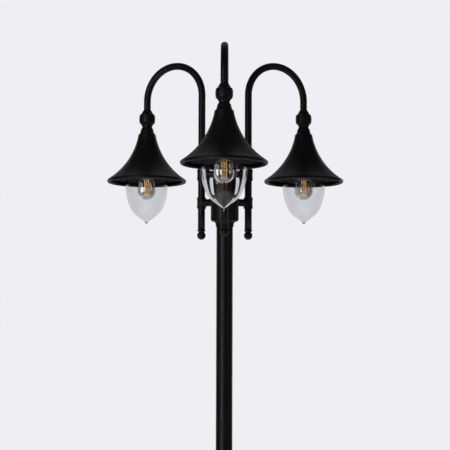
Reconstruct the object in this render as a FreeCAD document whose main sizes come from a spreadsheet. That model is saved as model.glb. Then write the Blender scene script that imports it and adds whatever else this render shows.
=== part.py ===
import FreeCAD, Part

import math
import os
from types import SimpleNamespace

import Sketcher
from FreeCAD import Placement, Rotation, Vector

# Garden lamp post with three swan-neck arms, each carrying a trumpet shade,
# a clear acorn glass and a filament bulb. Millimetres, +Z up, origin on the
# ground at the post's axis. The front arm points along -Y.

doc = FreeCAD.newDocument("LampPost")
sheet = doc.addObject("Spreadsheet::Sheet", "Sizes")

driving_sizes = {
    # foot casting
    "foot_radius": 110,
    "foot_plate": 12,
    "foot_bolt_circle_radius": 90,
    "foot_bolt_hole_radius": 6,
    "cable_entry_radius": 15,
    "foot_step_radius": 80,
    "foot_step_height": 10,
    "foot_bell_height": 78,
    "foot_bell_arc_radius": 110,
    "foot_collar_radius": 34,
    "foot_collar_height": 26,
    "foot_edge_round": 3,
    # post tubes
    "post_radius": 25,
    "post_wall": 2,
    "lower_post_length": 947,
    "upper_post_length": 955,
    "post_joint_sleeve_length": 160,
    "post_joint_sleeve_wall": 2.5,
    "post_joint_screw_inset": 40,
    # hub
    "hub_radius": 42.5,
    "hub_wall": 6.5,
    "hub_socket_depth": 40,
    "hub_socket_lip": 5,
    "hub_lip_radius": 27.5,
    "hub_lip_height": 8,
    "hub_cavetto_radius": 36,
    "hub_cavetto_height": 9,
    "hub_chamfer_width": 2.5,
    "hub_chamfer_height": 6.5,
    "hub_body_height": 199,
    "hub_cap_dome_height": 16,
    "hub_cap_spigot_height": 8,
    "hub_cap_button_radius": 10,
    "hub_cap_button_height": 4,
    # wiring inside the hub
    "terminal_plate_thickness": 2,
    "terminal_plate_hole_radius": 5,
    "terminal_plate_hole_offset": 29,
    "terminal_block_length": 44,
    "terminal_block_width": 24,
    "terminal_block_height": 16,
    "lead_radius": 2.5,
    "lead_circle_radius": 8,
    "lead_hub_bend": 12,
    "lead_arm_bend": 16,
    # arm brackets, in two tiers
    "lower_tier_height": 77,
    "upper_tier_height": 164,
    "bracket_stub_radius": 11.3,
    "bracket_spigot_radius": 8,
    "bracket_bore_radius": 6,
    "bracket_sleeve_height": 34.5,
    "bracket_sleeve_radius": 14.2,
    "bracket_bead_height": 8,
    "bracket_groove_depth": 0.7,
    "bracket_fillet": 4,
    # arm tubes
    "arm_radius": 11,
    "arm_wall": 2,
    "arm_spread": 83,
    "lamp_spread": 287,
    "arm_tail": 84,
    "arm_straight": 420,
    "arm_drop": 51,
    # ball finial under each arm
    "finial_ring_radius": 12.8,
    "finial_ring_height": 3.5,
    "finial_neck_radius": 8.65,
    "finial_ball_radius": 13.25,
    "finial_ball_drop": 16.1,
    "finial_spigot_height": 15,
    # barrel knuckle at the end of each arm
    "knuckle_height": 56,
    "knuckle_socket_depth": 22,
    "knuckle_mouth_radius": 12.6,
    "knuckle_collar_radius": 16,
    "knuckle_collar_height": 6,
    "knuckle_shoulder_radius": 18.7,
    "knuckle_shoulder_height": 5,
    "knuckle_barrel_radius": 24.2,
    "knuckle_barrel_top": 5,
    "knuckle_barrel_height": 25,
    "knuckle_barrel_arc_radius": 61,
    "knuckle_waist_radius": 15.7,
    "knuckle_waist_height": 9,
    "knuckle_waist_arc_radius": 16,
    # bell cap on top of each shade
    "cap_height": 25,
    "cap_flange_height": 3,
    "cap_skirt_radius": 24,
    "cap_neck_radius": 19,
    "cap_neck_height": 18,
    "cap_skirt_arc_radius": 30,
    # spun trumpet shade
    "shade_radius": 125,
    "shade_height": 148,
    "shade_neck_radius": 27.8,
    "shade_wall": 1.5,
    "shade_flare_arc_radius": 217,
    "shade_bead_radius": 4,
    "shade_bead_rise": 1.5,
    "shade_bead_outer_angle": 57,
    "shade_bead_inner_angle": 107,
    # hollow stem and its nuts
    "stem_radius": 5,
    "stem_bore_radius": 3.5,
    "stem_length": 130,
    "nut_across_flats": 14,
    "nut_height": 5,
    # lampholder, measured up from the rim of the shade
    "holder_top": 78,
    "holder_height": 57,
    "holder_skirt_radius": 21,
    "holder_skirt_height": 13,
    "holder_body_radius": 19.5,
    "holder_body_height": 24,
    "holder_dome_radius": 9,
    "holder_dome_arc_radius": 13,
    "holder_collar_height": 5,
    "holder_thread_depth": 12,
    "holder_socket_depth": 29,
    # spun gallery that carries the glass
    "gallery_wall": 1.5,
    "gallery_top_radius": 24,
    "gallery_collar_height": 12,
    "gallery_collar_wall": 2.5,
    "gallery_seat_depth": 5.5,
    "gallery_seat_width": 9,
    "gallery_seat_thickness": 2,
    "gallery_collar_bottom": 34.5,
    # acorn glass
    "glass_radius": 66,
    "glass_wall": 4,
    "glass_flange_width": 2.5,
    "glass_flange_height": 4,
    "glass_neck_height": 51,
    "glass_shoulder_arc_radius": 170,
    "glass_shoulder_angle": 23.2,
    "glass_bowl_arc_radius": 72,
    "glass_bowl_angle": 54,
    "glass_nipple_radius": 4,
    "glass_nipple_height": 6,
    "glass_nipple_root": 3.5,
    "glass_inner_tip_radius": 6,
    "gasket_thickness": 1.9,
    # threaded ring that holds the glass up
    "ring_lip_height": 4,
    "ring_height": 12,
    "ring_wall": 2.7,
    # filament bulb
    "bulb_radius": 30,
    "bulb_length": 107,
    "bulb_neck_radius": 12.5,
    "bulb_neck_arc_radius": 90,
    "bulb_sphere_angle": 35,
    "bulb_glass_wall": 1,
    "bulb_cap_radius": 13.2,
    "bulb_cap_height": 23,
    "bulb_cap_taper": 4,
    "bulb_contact_radius": 4.5,
    "bulb_contact_height": 3,
    "bulb_cap_lap": 3,
    "filament_radius": 1.2,
    "filament_length": 50,
    "filament_circle_radius": 9,
    "filament_stem_radius": 4,
    "filament_stem_length": 24,
    "filament_wire_radius": 0.6,
    # screws and clearances
    "screw_radius": 3,
    "screw_key_radius": 1.6,
    "foot_screw_length": 8,
    "joint_screw_length": 8,
    "hub_screw_length": 16,
    "knuckle_screw_length": 8,
    "slip_gap": 0.15,
    "turning_gap": 0.3,
    "seat_gap": 0.1,
}


class Size:
    """A length in millimetres, or an angle in degrees, with the sheet expression that gives it."""

    def __init__(self, value, text):
        self.value = float(value)
        self.text = text

    def joined(self, sign, other, value):
        return Size(value, f"({self.text} {sign} {as_size(other).text})")

    def __add__(self, other):
        return self.joined("+", other, self.value + as_size(other).value)

    def __sub__(self, other):
        return self.joined("-", other, self.value - as_size(other).value)

    def __mul__(self, other):
        return self.joined("*", other, self.value * as_size(other).value)

    def __truediv__(self, other):
        return self.joined("/", other, self.value / as_size(other).value)

    def __neg__(self):
        return Size(-self.value, f"(0 - {self.text})")


def as_size(number):
    if isinstance(number, Size):
        return number
    return Size(number, repr(number))


def cosine(angle):
    angle = as_size(angle)
    return Size(math.cos(math.radians(angle.value)), f"cos({angle.text})")


def sine(angle):
    angle = as_size(angle)
    return Size(math.sin(math.radians(angle.value)), f"sin({angle.text})")


def root(number):
    return Size(math.sqrt(number.value), f"sqrt({number.text})")


def fill_sheet():
    """Writes each driving size into the sheet and returns them all as named sizes."""
    named = {}
    for row, (name, number) in enumerate(driving_sizes.items(), start=1):
        sheet.set(f"A{row}", name)
        sheet.set(f"B{row}", str(number))
        sheet.setAlias(f"B{row}", name)
        named[name] = Size(number, f"Sizes.{name}")
    doc.recompute()
    return SimpleNamespace(**named)


size = fill_sheet()
zero = Size(0, "0")

# Heads, by name, with the direction in which each arm points.
head_angles = {"front": -90, "right": 30, "left": 150}
finished_pieces = []


def bind(item, name, amount):
    item.setExpression(name, as_size(amount).text)


def finish(item, label):
    """Names a finished piece; its label is also its file name."""
    item.Label = label
    finished_pieces.append(item)
    return item


def place(item, turn=0, x=zero, y=zero, z=zero):
    """Turns a piece about the vertical and moves it, bound to the sheet."""
    item.Placement = Placement(Vector(0, 0, 0), Rotation(Vector(0, 0, 1), turn))
    bind(item, "Placement.Base.x", x)
    bind(item, "Placement.Base.y", y)
    bind(item, "Placement.Base.z", z)


def place_on_lamp(item, angle, z):
    """Puts a piece on the axis of the lamp that hangs in the given direction."""
    place(item, angle, size.lamp_spread * cosine(angle), size.lamp_spread * sine(angle), z)


def new_body(name):
    body = doc.addObject("PartDesign::Body", name)
    body.AllowCompound = True
    return body


def sketch_on(body, role, name, lift=None):
    """A sketch on one of the body's own origin planes, lifted off it when asked."""
    sketch = body.newObject("Sketcher::SketchObject", name)
    planes = [item for item in body.Origin.OriginFeatures if item.Role == role]
    sketch.AttachmentSupport = [(planes[0], "")]
    sketch.MapMode = "FlatFace"
    if lift is not None:
        bind(sketch, "AttachmentOffset.Base.z", lift)
    return sketch


def dimension(sketch, kind, name, amount, *geometry):
    """A dimension of the sketch, bound to the sheet."""
    number = sketch.addConstraint(Sketcher.Constraint(kind, *geometry, amount.value))
    sketch.renameConstraint(number, name)
    bind(sketch, f"Constraints.{name}", amount)


def pin_point(sketch, edge, end, name, x, y):
    """Fixes one end of an edge at its distance from the sketch's origin."""
    if x.value == 0:
        sketch.addConstraint(Sketcher.Constraint("PointOnObject", edge, end, -2))
    else:
        dimension(sketch, "DistanceX", f"{name}_across", x, -1, 1, edge, end)
    if y.value == 0:
        sketch.addConstraint(Sketcher.Constraint("PointOnObject", edge, end, -1))
    else:
        dimension(sketch, "DistanceY", f"{name}_up", y, -1, 1, edge, end)


def arc_between(start, end, radius):
    """The arc from start to end; a positive radius turns left, a negative one right."""
    chord = end - start
    to_centre = math.sqrt(radius ** 2 - (chord.Length / 2) ** 2)
    left = Vector(-chord.y, chord.x, 0).normalize()
    centre = (start + end) / 2 + left * math.copysign(to_centre, radius)
    first, last = (start, end) if radius > 0 else (end, start)
    angles = [math.atan2(point.y - centre.y, point.x - centre.x) for point in (first, last)]
    circle = Part.Circle(centre, Vector(0, 0, 1), abs(radius))
    return Part.ArcOfCircle(circle, angles[0], angles[1])


def draw_path(sketch, corners, closed=True):
    """Lines and arcs through the corners. A corner is (across, up) at the end of a line,
    or (across, up, radius) at the end of an arc from the corner before it."""
    corners = [tuple(as_size(number) for number in corner) for corner in corners]
    points = [Vector(corner[0].value, corner[1].value, 0) for corner in corners]
    starts = list(range(len(corners))) if closed else list(range(len(corners) - 1))
    ends_before = None
    first_end = None
    for start in starts:
        target = (start + 1) % len(corners)
        if len(corners[target]) == 3:
            radius = corners[target][2]
            edge = sketch.addGeometry(arc_between(points[start], points[target], radius.value), False)
            length = radius if radius.value > 0 else -radius
            dimension(sketch, "Radius", f"curve{target}", length, edge)
            near, far = (1, 2) if radius.value > 0 else (2, 1)
        else:
            edge = sketch.addGeometry(Part.LineSegment(points[start], points[target]), False)
            near, far = 1, 2
        pin_point(sketch, edge, near, f"corner{start}", corners[start][0], corners[start][1])
        if ends_before is not None:
            sketch.addConstraint(Sketcher.Constraint("Coincident", *ends_before, edge, near))
        if first_end is None:
            first_end = (edge, near)
        ends_before = (edge, far)
    if closed:
        sketch.addConstraint(Sketcher.Constraint("Coincident", *ends_before, *first_end))
    else:
        last = len(corners) - 1
        pin_point(sketch, *ends_before, f"corner{last}", corners[last][0], corners[last][1])


def draw_circle(sketch, name, radius, x=zero, y=zero):
    """A circle, bound to the sheet by its radius and its centre."""
    centre = Vector(x.value, y.value, 0)
    edge = sketch.addGeometry(Part.Circle(centre, Vector(0, 0, 1), radius.value), False)
    dimension(sketch, "Radius", f"{name}_radius", radius, edge)
    pin_point(sketch, edge, 3, name, x, y)


def turned(name, outline):
    """A body turned about the vertical from a closed outline of (radius, height) corners."""
    body = new_body(name)
    sketch = sketch_on(body, "XZ_Plane", f"{name}_outline")
    draw_path(sketch, outline)
    turn = body.newObject("PartDesign::Revolution", f"{name}_turn")
    turn.Profile = sketch
    turn.ReferenceAxis = (sketch, ["V_Axis"])
    turn.Angle = 360
    body.Tip = turn
    return body


def pad(body, sketch, name, length):
    feature = body.newObject("PartDesign::Pad", name)
    feature.Profile = sketch
    bind(feature, "Length", length)
    body.Tip = feature
    return feature


def drill(body, sketch, name, depth, backwards=False):
    """A pocket of the given depth that starts at its sketch."""
    feature = body.newObject("PartDesign::Pocket", name)
    feature.Profile = sketch
    feature.Type = "Length"
    feature.Reversed = backwards
    bind(feature, "Length", depth)
    body.Tip = feature
    return feature


def repeat_round(body, features, name, count):
    """Repeats features round the body's vertical axis."""
    axes = [item for item in body.Origin.OriginFeatures if item.Role == "Z_Axis"]
    pattern = body.newObject("PartDesign::PolarPattern", name)
    pattern.Originals = features
    pattern.Axis = (axes[0], [""])
    pattern.Angle = 360
    pattern.Occurrences = count
    body.Tip = pattern
    return pattern


def group(label, members):
    """One piece that holds several equal, separate solids."""
    compound = doc.addObject("Part::Compound", label)
    compound.Links = members
    return finish(compound, label)


def polar(across, up, radius, angle):
    """A corner on a circle about (across, up)."""
    return across + radius * cosine(angle), up + radius * sine(angle)


post_bottom = size.foot_plate
post_joint = post_bottom + size.lower_post_length
post_top = post_joint + size.upper_post_length
hub_bottom = post_top - size.hub_socket_depth
arm_bottom = hub_bottom + size.lower_tier_height - size.arm_tail
arm_spring = arm_bottom + size.arm_straight
arm_end = arm_spring - size.arm_drop
knuckle_bottom = arm_end + size.knuckle_socket_depth - size.knuckle_height
shade_top = knuckle_bottom - size.cap_height
rim = shade_top - size.shade_height
arch_radius = (size.lamp_spread - size.arm_spread) / 2
post_bore = size.post_radius - size.post_wall
arm_socket_radius = size.arm_radius + size.slip_gap
stem_hole_radius = size.stem_radius + size.slip_gap
screw_hole_radius = size.screw_radius + size.slip_gap


def radial_holes(body, name, height, outside, depth, count, far_side=False):
    """Screw holes drilled inwards through a round wall, spaced evenly round the vertical.
    The first lies on the side of +X, or of -X when far_side is set."""
    sketch = sketch_on(body, "YZ_Plane", f"{name}_circle", -outside if far_side else outside)
    draw_circle(sketch, name, screw_hole_radius, zero, height)
    hole = drill(body, sketch, f"{name}_drill", depth, backwards=far_side)
    return repeat_round(body, [hole], f"{name}_round", count)


def grub_screw(name, turn, x, y, z, inner_end, length):
    """A headless screw whose axis points away from (x, y), its hexagon key hole facing out."""
    shank = doc.addObject("Part::Cylinder", f"{name}_shank")
    bind(shank, "Radius", size.screw_radius)
    bind(shank, "Height", length)
    key = doc.addObject("Part::Prism", f"{name}_key")
    key.Polygon = 6
    bind(key, "Circumradius", size.screw_key_radius)
    bind(key, "Height", length / 2)
    bind(key, "Placement.Base.z", length / 2)
    screw = doc.addObject("Part::Cut", name)
    screw.Base = shank
    screw.Tool = key
    outwards = Rotation(Vector(0, 0, 1), turn) * Rotation(Vector(0, 1, 0), 90)
    screw.Placement = Placement(Vector(0, 0, 0), outwards)
    bind(screw, "Placement.Base.x", x + inner_end * cosine(turn))
    bind(screw, "Placement.Base.y", y + inner_end * sine(turn))
    bind(screw, "Placement.Base.z", z)
    return screw


def make_foot():
    """Cast foot: bolted plate, stepped bell and a socket for the post."""
    bell_bottom = size.foot_plate + size.foot_step_height
    bell_top = bell_bottom + size.foot_bell_height
    top = bell_top + size.foot_collar_height
    socket_radius = size.post_radius + size.slip_gap
    body = turned("foot", [
        (size.cable_entry_radius, zero),
        (size.foot_radius, zero),
        (size.foot_radius, size.foot_plate - size.foot_edge_round),
        (size.foot_radius - size.foot_edge_round, size.foot_plate, size.foot_edge_round),
        (size.foot_step_radius, size.foot_plate),
        (size.foot_step_radius, bell_bottom - size.foot_edge_round),
        (size.foot_step_radius - size.foot_edge_round, bell_bottom, size.foot_edge_round),
        (size.foot_step_radius - size.foot_edge_round * 2, bell_bottom),
        (size.foot_collar_radius - size.foot_edge_round, bell_top, -size.foot_bell_arc_radius),
        (size.foot_collar_radius, bell_top),
        (size.foot_collar_radius, top - size.foot_edge_round),
        (size.foot_collar_radius - size.foot_edge_round, top, size.foot_edge_round),
        (socket_radius, top),
        (socket_radius, size.foot_plate),
        (size.cable_entry_radius, size.foot_plate),
    ])
    sketch = sketch_on(body, "XY_Plane", "foot_bolt_circle", size.foot_plate)
    draw_circle(sketch, "bolt", size.foot_bolt_hole_radius, size.foot_bolt_circle_radius)
    bolt_hole = drill(body, sketch, "foot_bolt_hole", size.foot_plate)
    repeat_round(body, [bolt_hole], "foot_bolt_holes", 4)
    screw_height = top - size.foot_collar_height / 2
    radial_holes(body, "foot_screw", screw_height, size.foot_collar_radius,
                 size.foot_collar_radius - size.post_radius, 3)
    finish(body, "base_casting")
    screws = [grub_screw(f"foot_grub{turn}", turn, zero, zero, screw_height, size.post_radius,
                         size.foot_screw_length) for turn in (0, 120, 240)]
    group("base_grub_screws", screws)


def make_tube(label, bottom, length, hole_heights):
    """A length of post tube with the screw holes of its joint."""
    body = new_body(label)
    sketch = sketch_on(body, "XY_Plane", f"{label}_ring")
    draw_circle(sketch, "outside", size.post_radius)
    draw_circle(sketch, "inside", post_bore)
    pad(body, sketch, f"{label}_pad", length)
    for number, height in enumerate(hole_heights):
        radial_holes(body, f"{label}_hole{number}", height, size.post_radius,
                     size.post_wall * 2, 2)
    place(body, z=bottom)
    finish(body, label)


def make_post():
    """Two tubes butted over an inner sleeve, held by two screws in each."""
    inset = size.post_joint_screw_inset
    make_tube("post_lower_tube", post_bottom, size.lower_post_length,
              [size.lower_post_length - inset])
    make_tube("post_upper_tube", post_joint, size.upper_post_length, [inset])
    sleeve_radius = post_bore - size.slip_gap
    sleeve = new_body("sleeve")
    ring = sketch_on(sleeve, "XY_Plane", "sleeve_ring")
    draw_circle(ring, "outside", sleeve_radius)
    draw_circle(ring, "inside", sleeve_radius - size.post_joint_sleeve_wall)
    pad(sleeve, ring, "sleeve_pad", size.post_joint_sleeve_length)
    half = size.post_joint_sleeve_length / 2
    for number, height in enumerate((half - inset, half + inset)):
        radial_holes(sleeve, f"sleeve_hole{number}", height, size.post_radius,
                     size.post_radius, 2)
    place(sleeve, z=post_joint - half)
    finish(sleeve, "post_joint_sleeve")
    screws = []
    for side in (0, 180):
        for row, height in enumerate((post_joint - inset, post_joint + inset)):
            screws.append(grub_screw(f"joint_screw{side}_{row}", side, zero, zero, height,
                                     size.post_radius - size.joint_screw_length,
                                     size.joint_screw_length))
    group("post_joint_screws", screws)


def make_hub():
    """Turned hub: lip and cavetto under a plain drum, socket below, wiring space above."""
    cavity_radius = size.hub_radius - size.hub_wall
    cavetto_top = size.hub_lip_height + size.hub_cavetto_height
    drum_bottom = cavetto_top + size.hub_chamfer_height
    top = drum_bottom + size.hub_body_height - size.hub_chamfer_height
    chamfer_radius = size.hub_radius - size.hub_chamfer_width
    cavity_floor = size.hub_socket_depth + size.hub_socket_lip
    socket_radius = size.post_radius + size.slip_gap
    body = turned("hub", [
        (socket_radius, zero),
        (size.hub_lip_radius, zero),
        (size.hub_lip_radius, size.hub_lip_height),
        (size.hub_cavetto_radius, cavetto_top, -size.hub_cavetto_height * 1.4),
        (chamfer_radius, cavetto_top),
        (size.hub_radius, drum_bottom),
        (size.hub_radius, top - size.hub_chamfer_height),
        (chamfer_radius, top),
        (cavity_radius, top),
        (cavity_radius, cavity_floor),
        (post_bore, cavity_floor),
        (post_bore, size.hub_socket_depth),
        (socket_radius, size.hub_socket_depth),
    ])
    for name, height in (("lower", size.lower_tier_height), ("upper", size.upper_tier_height)):
        sketch = sketch_on(body, "YZ_Plane", f"hub_{name}_circle", size.hub_radius)
        draw_circle(sketch, name, size.bracket_spigot_radius, zero, height)
        hole = drill(body, sketch, f"hub_{name}_drill", size.hub_wall * 2)
        repeat_round(body, [hole], f"hub_{name}_round", 3)
    screw_height = cavetto_top + size.hub_chamfer_height + size.screw_radius
    radial_holes(body, "hub_screw", screw_height, size.hub_radius,
                 size.hub_radius - size.post_radius, 3, far_side=True)
    place(body, turn=30, z=hub_bottom)
    finish(body, "hub_casting")
    screws = [grub_screw(f"hub_grub{turn}", turn, zero, zero, hub_bottom + screw_height,
                         size.post_radius, size.hub_screw_length) for turn in (90, 210, 330)]
    group("hub_grub_screws", screws)

    spigot_radius = cavity_radius - size.slip_gap
    dome_top = top + size.hub_cap_dome_height
    button_top = dome_top + size.hub_cap_button_height
    cap = turned("cap", [
        (zero, top - size.hub_cap_spigot_height),
        (spigot_radius, top - size.hub_cap_spigot_height),
        (spigot_radius, top),
        (size.hub_radius, top),
        (size.hub_cap_button_radius, dome_top, size.hub_radius * 1.6),
        (size.hub_cap_button_radius, dome_top + size.hub_cap_button_height / 2),
        (zero, button_top, size.hub_cap_button_radius * 2.6),
    ])
    place(cap, z=hub_bottom)
    finish(cap, "hub_cap")

    plate = new_body("plate")
    disc = sketch_on(plate, "XY_Plane", "plate_disc")
    draw_circle(disc, "edge", spigot_radius)
    draw_circle(disc, "wire_hole", size.terminal_plate_hole_radius, zero,
                size.terminal_plate_hole_offset)
    pad(plate, disc, "plate_pad", size.terminal_plate_thickness)
    place(plate, z=hub_bottom + cavity_floor)
    finish(plate, "terminal_plate")
    block_bottom = hub_bottom + cavity_floor + size.terminal_plate_thickness
    make_terminal_block(block_bottom)
    return block_bottom + size.terminal_block_height


def make_terminal_block(bottom):
    """Screw terminal block with a row of wire holes through it."""
    half_length = size.terminal_block_length / 2
    half_width = size.terminal_block_width / 2
    block = new_body("block")
    outline = sketch_on(block, "XY_Plane", "block_outline")
    draw_path(outline, [(-half_width, -half_length), (half_width, -half_length),
                        (half_width, half_length), (-half_width, half_length)])
    pad(block, outline, "block_pad", size.terminal_block_height)
    holes = sketch_on(block, "YZ_Plane", "block_holes", half_width)
    wire_radius = size.terminal_block_length / 16
    for number, share in enumerate((-3, -1, 1, 3)):
        draw_circle(holes, f"wire{number}", wire_radius, half_length * share / 4,
                    size.terminal_block_height / 3)
    drill(block, holes, "block_drill", size.terminal_block_width)
    place(block, z=bottom)
    finish(block, "terminal_block")


def make_bracket(label, angle, level):
    """Short stub that screws into the hub and ends in a beaded sleeve round the arm tube."""
    half = size.bracket_sleeve_height / 2
    bead_inside = half - size.bracket_bead_height
    groove_radius = size.bracket_sleeve_radius - size.bracket_groove_depth
    middle = size.arm_spread
    outside = middle + size.bracket_sleeve_radius
    inside = middle + size.arm_radius
    edge = size.bracket_groove_depth * 2
    body = new_body(label)
    barrel = sketch_on(body, "XY_Plane", f"{label}_barrel", -half + edge)
    draw_circle(barrel, "barrel", groove_radius, middle)
    pad(body, barrel, f"{label}_barrel_pad", size.bracket_sleeve_height - edge * 2)
    stub = sketch_on(body, "YZ_Plane", f"{label}_stub", size.hub_radius - size.hub_wall)
    draw_circle(stub, "stub", size.bracket_stub_radius)
    joined = pad(body, stub, f"{label}_stub_pad", middle - size.hub_radius + size.hub_wall)
    saddle = saddle_edges(joined)
    neck = body.newObject("PartDesign::Fillet", f"{label}_neck")
    neck.Base = (joined, saddle)
    bind(neck, "Radius", size.bracket_fillet)
    body.Tip = neck
    for name, low, high in (("lower", -half, -bead_inside), ("upper", bead_inside, half)):
        bead = sketch_on(body, "XZ_Plane", f"{label}_{name}_bead")
        axis = bead.addGeometry(Part.LineSegment(Vector(middle.value, -1, 0),
                                                 Vector(middle.value, 1, 0)), True)
        pin_point(bead, axis, 1, "axis_low", middle, as_size(-1))
        pin_point(bead, axis, 2, "axis_high", middle, as_size(1))
        draw_path(bead, [(inside, low), (outside - edge, low), (outside, low + edge, edge),
                         (outside, high - edge), (outside - edge, high, edge), (inside, high)])
        turn = body.newObject("PartDesign::Revolution", f"{label}_{name}_bead_turn")
        turn.Profile = bead
        turn.ReferenceAxis = (bead, ["Axis0"])
        turn.Angle = 360
        body.Tip = turn
    seat = sketch_on(body, "XY_Plane", f"{label}_seat", size.bracket_stub_radius)
    draw_circle(seat, "seat", size.hub_radius)
    drill(body, seat, f"{label}_seat_cut", size.bracket_stub_radius * 2)
    spigot = sketch_on(body, "YZ_Plane", f"{label}_spigot", size.hub_radius - size.hub_wall)
    draw_circle(spigot, "spigot", size.bracket_spigot_radius)
    pad(body, spigot, f"{label}_spigot_pad", size.hub_wall + size.bracket_groove_depth)
    bore = sketch_on(body, "XY_Plane", f"{label}_bore", half)
    draw_circle(bore, "bore", arm_socket_radius, middle)
    drill(body, bore, f"{label}_bore_drill", size.bracket_sleeve_height)
    wire = sketch_on(body, "YZ_Plane", f"{label}_wire", middle)
    draw_circle(wire, "wire", size.bracket_bore_radius)
    drill(body, wire, f"{label}_wire_drill", middle)
    screw = sketch_on(body, "YZ_Plane", f"{label}_screw", middle)
    draw_circle(screw, "screw", screw_hole_radius)
    drill(body, screw, f"{label}_screw_drill", size.bracket_sleeve_radius, backwards=True)
    place(body, turn=angle, z=level)
    finish(body, label)
    return grub_screw(f"{label}_grub", angle, middle * cosine(angle), middle * sine(angle), level,
                      size.arm_radius, groove_radius - size.arm_radius)


def saddle_edges(feature):
    """The edges where two crossing cylinders meet, which are neither lines nor circles."""
    doc.recompute()
    flat = ("Part::GeomLine", "Part::GeomCircle")
    return [f"Edge{number}" for number, edge in enumerate(feature.Shape.Edges, start=1)
            if edge.Curve.TypeId not in flat]


def run(body, name, plane, lift, circles, length, backwards=False):
    """A straight length of tube or rod, drawn as (name, radius, across, up) circles."""
    sketch = sketch_on(body, plane, name, lift)
    for circle in circles:
        draw_circle(sketch, *circle)
    feature = pad(body, sketch, f"{name}_pad", length)
    feature.Reversed = backwards


def bend(body, name, lift, circles, pivot, angle):
    """A bend that turns level circles about a line along Y through the pivot."""
    sketch = sketch_on(body, "XY_Plane", name, lift)
    for circle in circles:
        draw_circle(sketch, *circle)
    axis = sketch.addGeometry(Part.LineSegment(Vector(pivot.value, -1, 0),
                                               Vector(pivot.value, 1, 0)), True)
    pin_point(sketch, axis, 1, "axis_low", pivot, as_size(-1))
    pin_point(sketch, axis, 2, "axis_high", pivot, as_size(1))
    feature = body.newObject("PartDesign::Revolution", f"{name}_turn")
    feature.Profile = sketch
    feature.ReferenceAxis = (sketch, ["Axis0"])
    feature.Angle = angle
    body.Tip = feature


def make_arm(head, angle):
    """Swan-neck tube: a long straight leg, a half-circle arch and a short drop."""
    label = f"arm_tube_{head}"
    body = new_body(label)
    bore_radius = size.arm_radius - size.arm_wall
    inner_leg = [("outside", size.arm_radius, size.arm_spread),
                 ("inside", bore_radius, size.arm_spread)]
    outer_leg = [("outside", size.arm_radius, size.lamp_spread),
                 ("inside", bore_radius, size.lamp_spread)]
    run(body, f"{label}_leg", "XY_Plane", zero, inner_leg, size.arm_straight)
    bend(body, f"{label}_arch", size.arm_straight, inner_leg, size.arm_spread + arch_radius, 180)
    run(body, f"{label}_drop", "XY_Plane", size.arm_straight, outer_leg, size.arm_drop,
        backwards=True)
    wire = sketch_on(body, "YZ_Plane", f"{label}_wire", size.arm_spread)
    draw_circle(wire, "wire", size.bracket_bore_radius, zero,
                size.arm_tail + size.upper_tier_height - size.lower_tier_height)
    drill(body, wire, f"{label}_wire_drill", size.arm_radius)
    place(body, turn=angle, z=arm_bottom)
    finish(body, label)


def make_finial(head, angle):
    """Ball finial with a ring and a spigot that plugs the arm's lower end."""
    spigot_radius = size.arm_radius - size.arm_wall - size.slip_gap
    ball = -size.finial_ball_drop
    neck_rise = root(size.finial_ball_radius * size.finial_ball_radius
                     - size.finial_neck_radius * size.finial_neck_radius)
    body = turned(f"finial_{head}", [
        (zero, ball - size.finial_ball_radius),
        (size.finial_ball_radius, ball, size.finial_ball_radius),
        (size.finial_neck_radius, ball + neck_rise, size.finial_ball_radius),
        (size.finial_neck_radius, -size.finial_ring_height),
        (size.finial_ring_radius, -size.finial_ring_height),
        (size.finial_ring_radius, zero),
        (spigot_radius, zero),
        (spigot_radius, size.finial_spigot_height),
        (zero, size.finial_spigot_height),
    ])
    place(body, angle, size.arm_spread * cosine(angle), size.arm_spread * sine(angle), arm_bottom)
    finish(body, f"arm_finial_{head}")


def make_lead(head, angle, start_height):
    """Flexible lead from the terminal block through the upper bracket and over the arch."""
    label = f"lead_{head}"
    body = new_body(label)
    level = hub_bottom + size.upper_tier_height
    hub_bend = size.lead_hub_bend
    arm_bend = size.lead_arm_bend
    start = size.lead_circle_radius
    end = rim + size.holder_top - size.holder_thread_depth
    at_block = [("lead", size.lead_radius, start)]
    level_lead = [("lead", size.lead_radius, zero, level)]
    in_arm = [("lead", size.lead_radius, size.arm_spread)]
    in_drop = [("lead", size.lead_radius, size.lamp_spread)]
    run(body, f"{label}_rise", "XY_Plane", start_height, at_block, level - hub_bend - start_height)
    bend(body, f"{label}_hub_bend", level - hub_bend, at_block, start + hub_bend, 90)
    run(body, f"{label}_across", "YZ_Plane", start + hub_bend, level_lead,
        size.arm_spread - arm_bend - start - hub_bend)
    bend(body, f"{label}_arm_bend", level + arm_bend, in_arm, size.arm_spread - arm_bend, 90)
    run(body, f"{label}_leg", "XY_Plane", level + arm_bend, in_arm, arm_spring - level - arm_bend)
    bend(body, f"{label}_arch", arm_spring, in_arm, size.arm_spread + arch_radius, 180)
    run(body, f"{label}_drop", "XY_Plane", arm_spring, in_drop, arm_spring - end, backwards=True)
    place(body, turn=angle)
    return body


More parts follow.
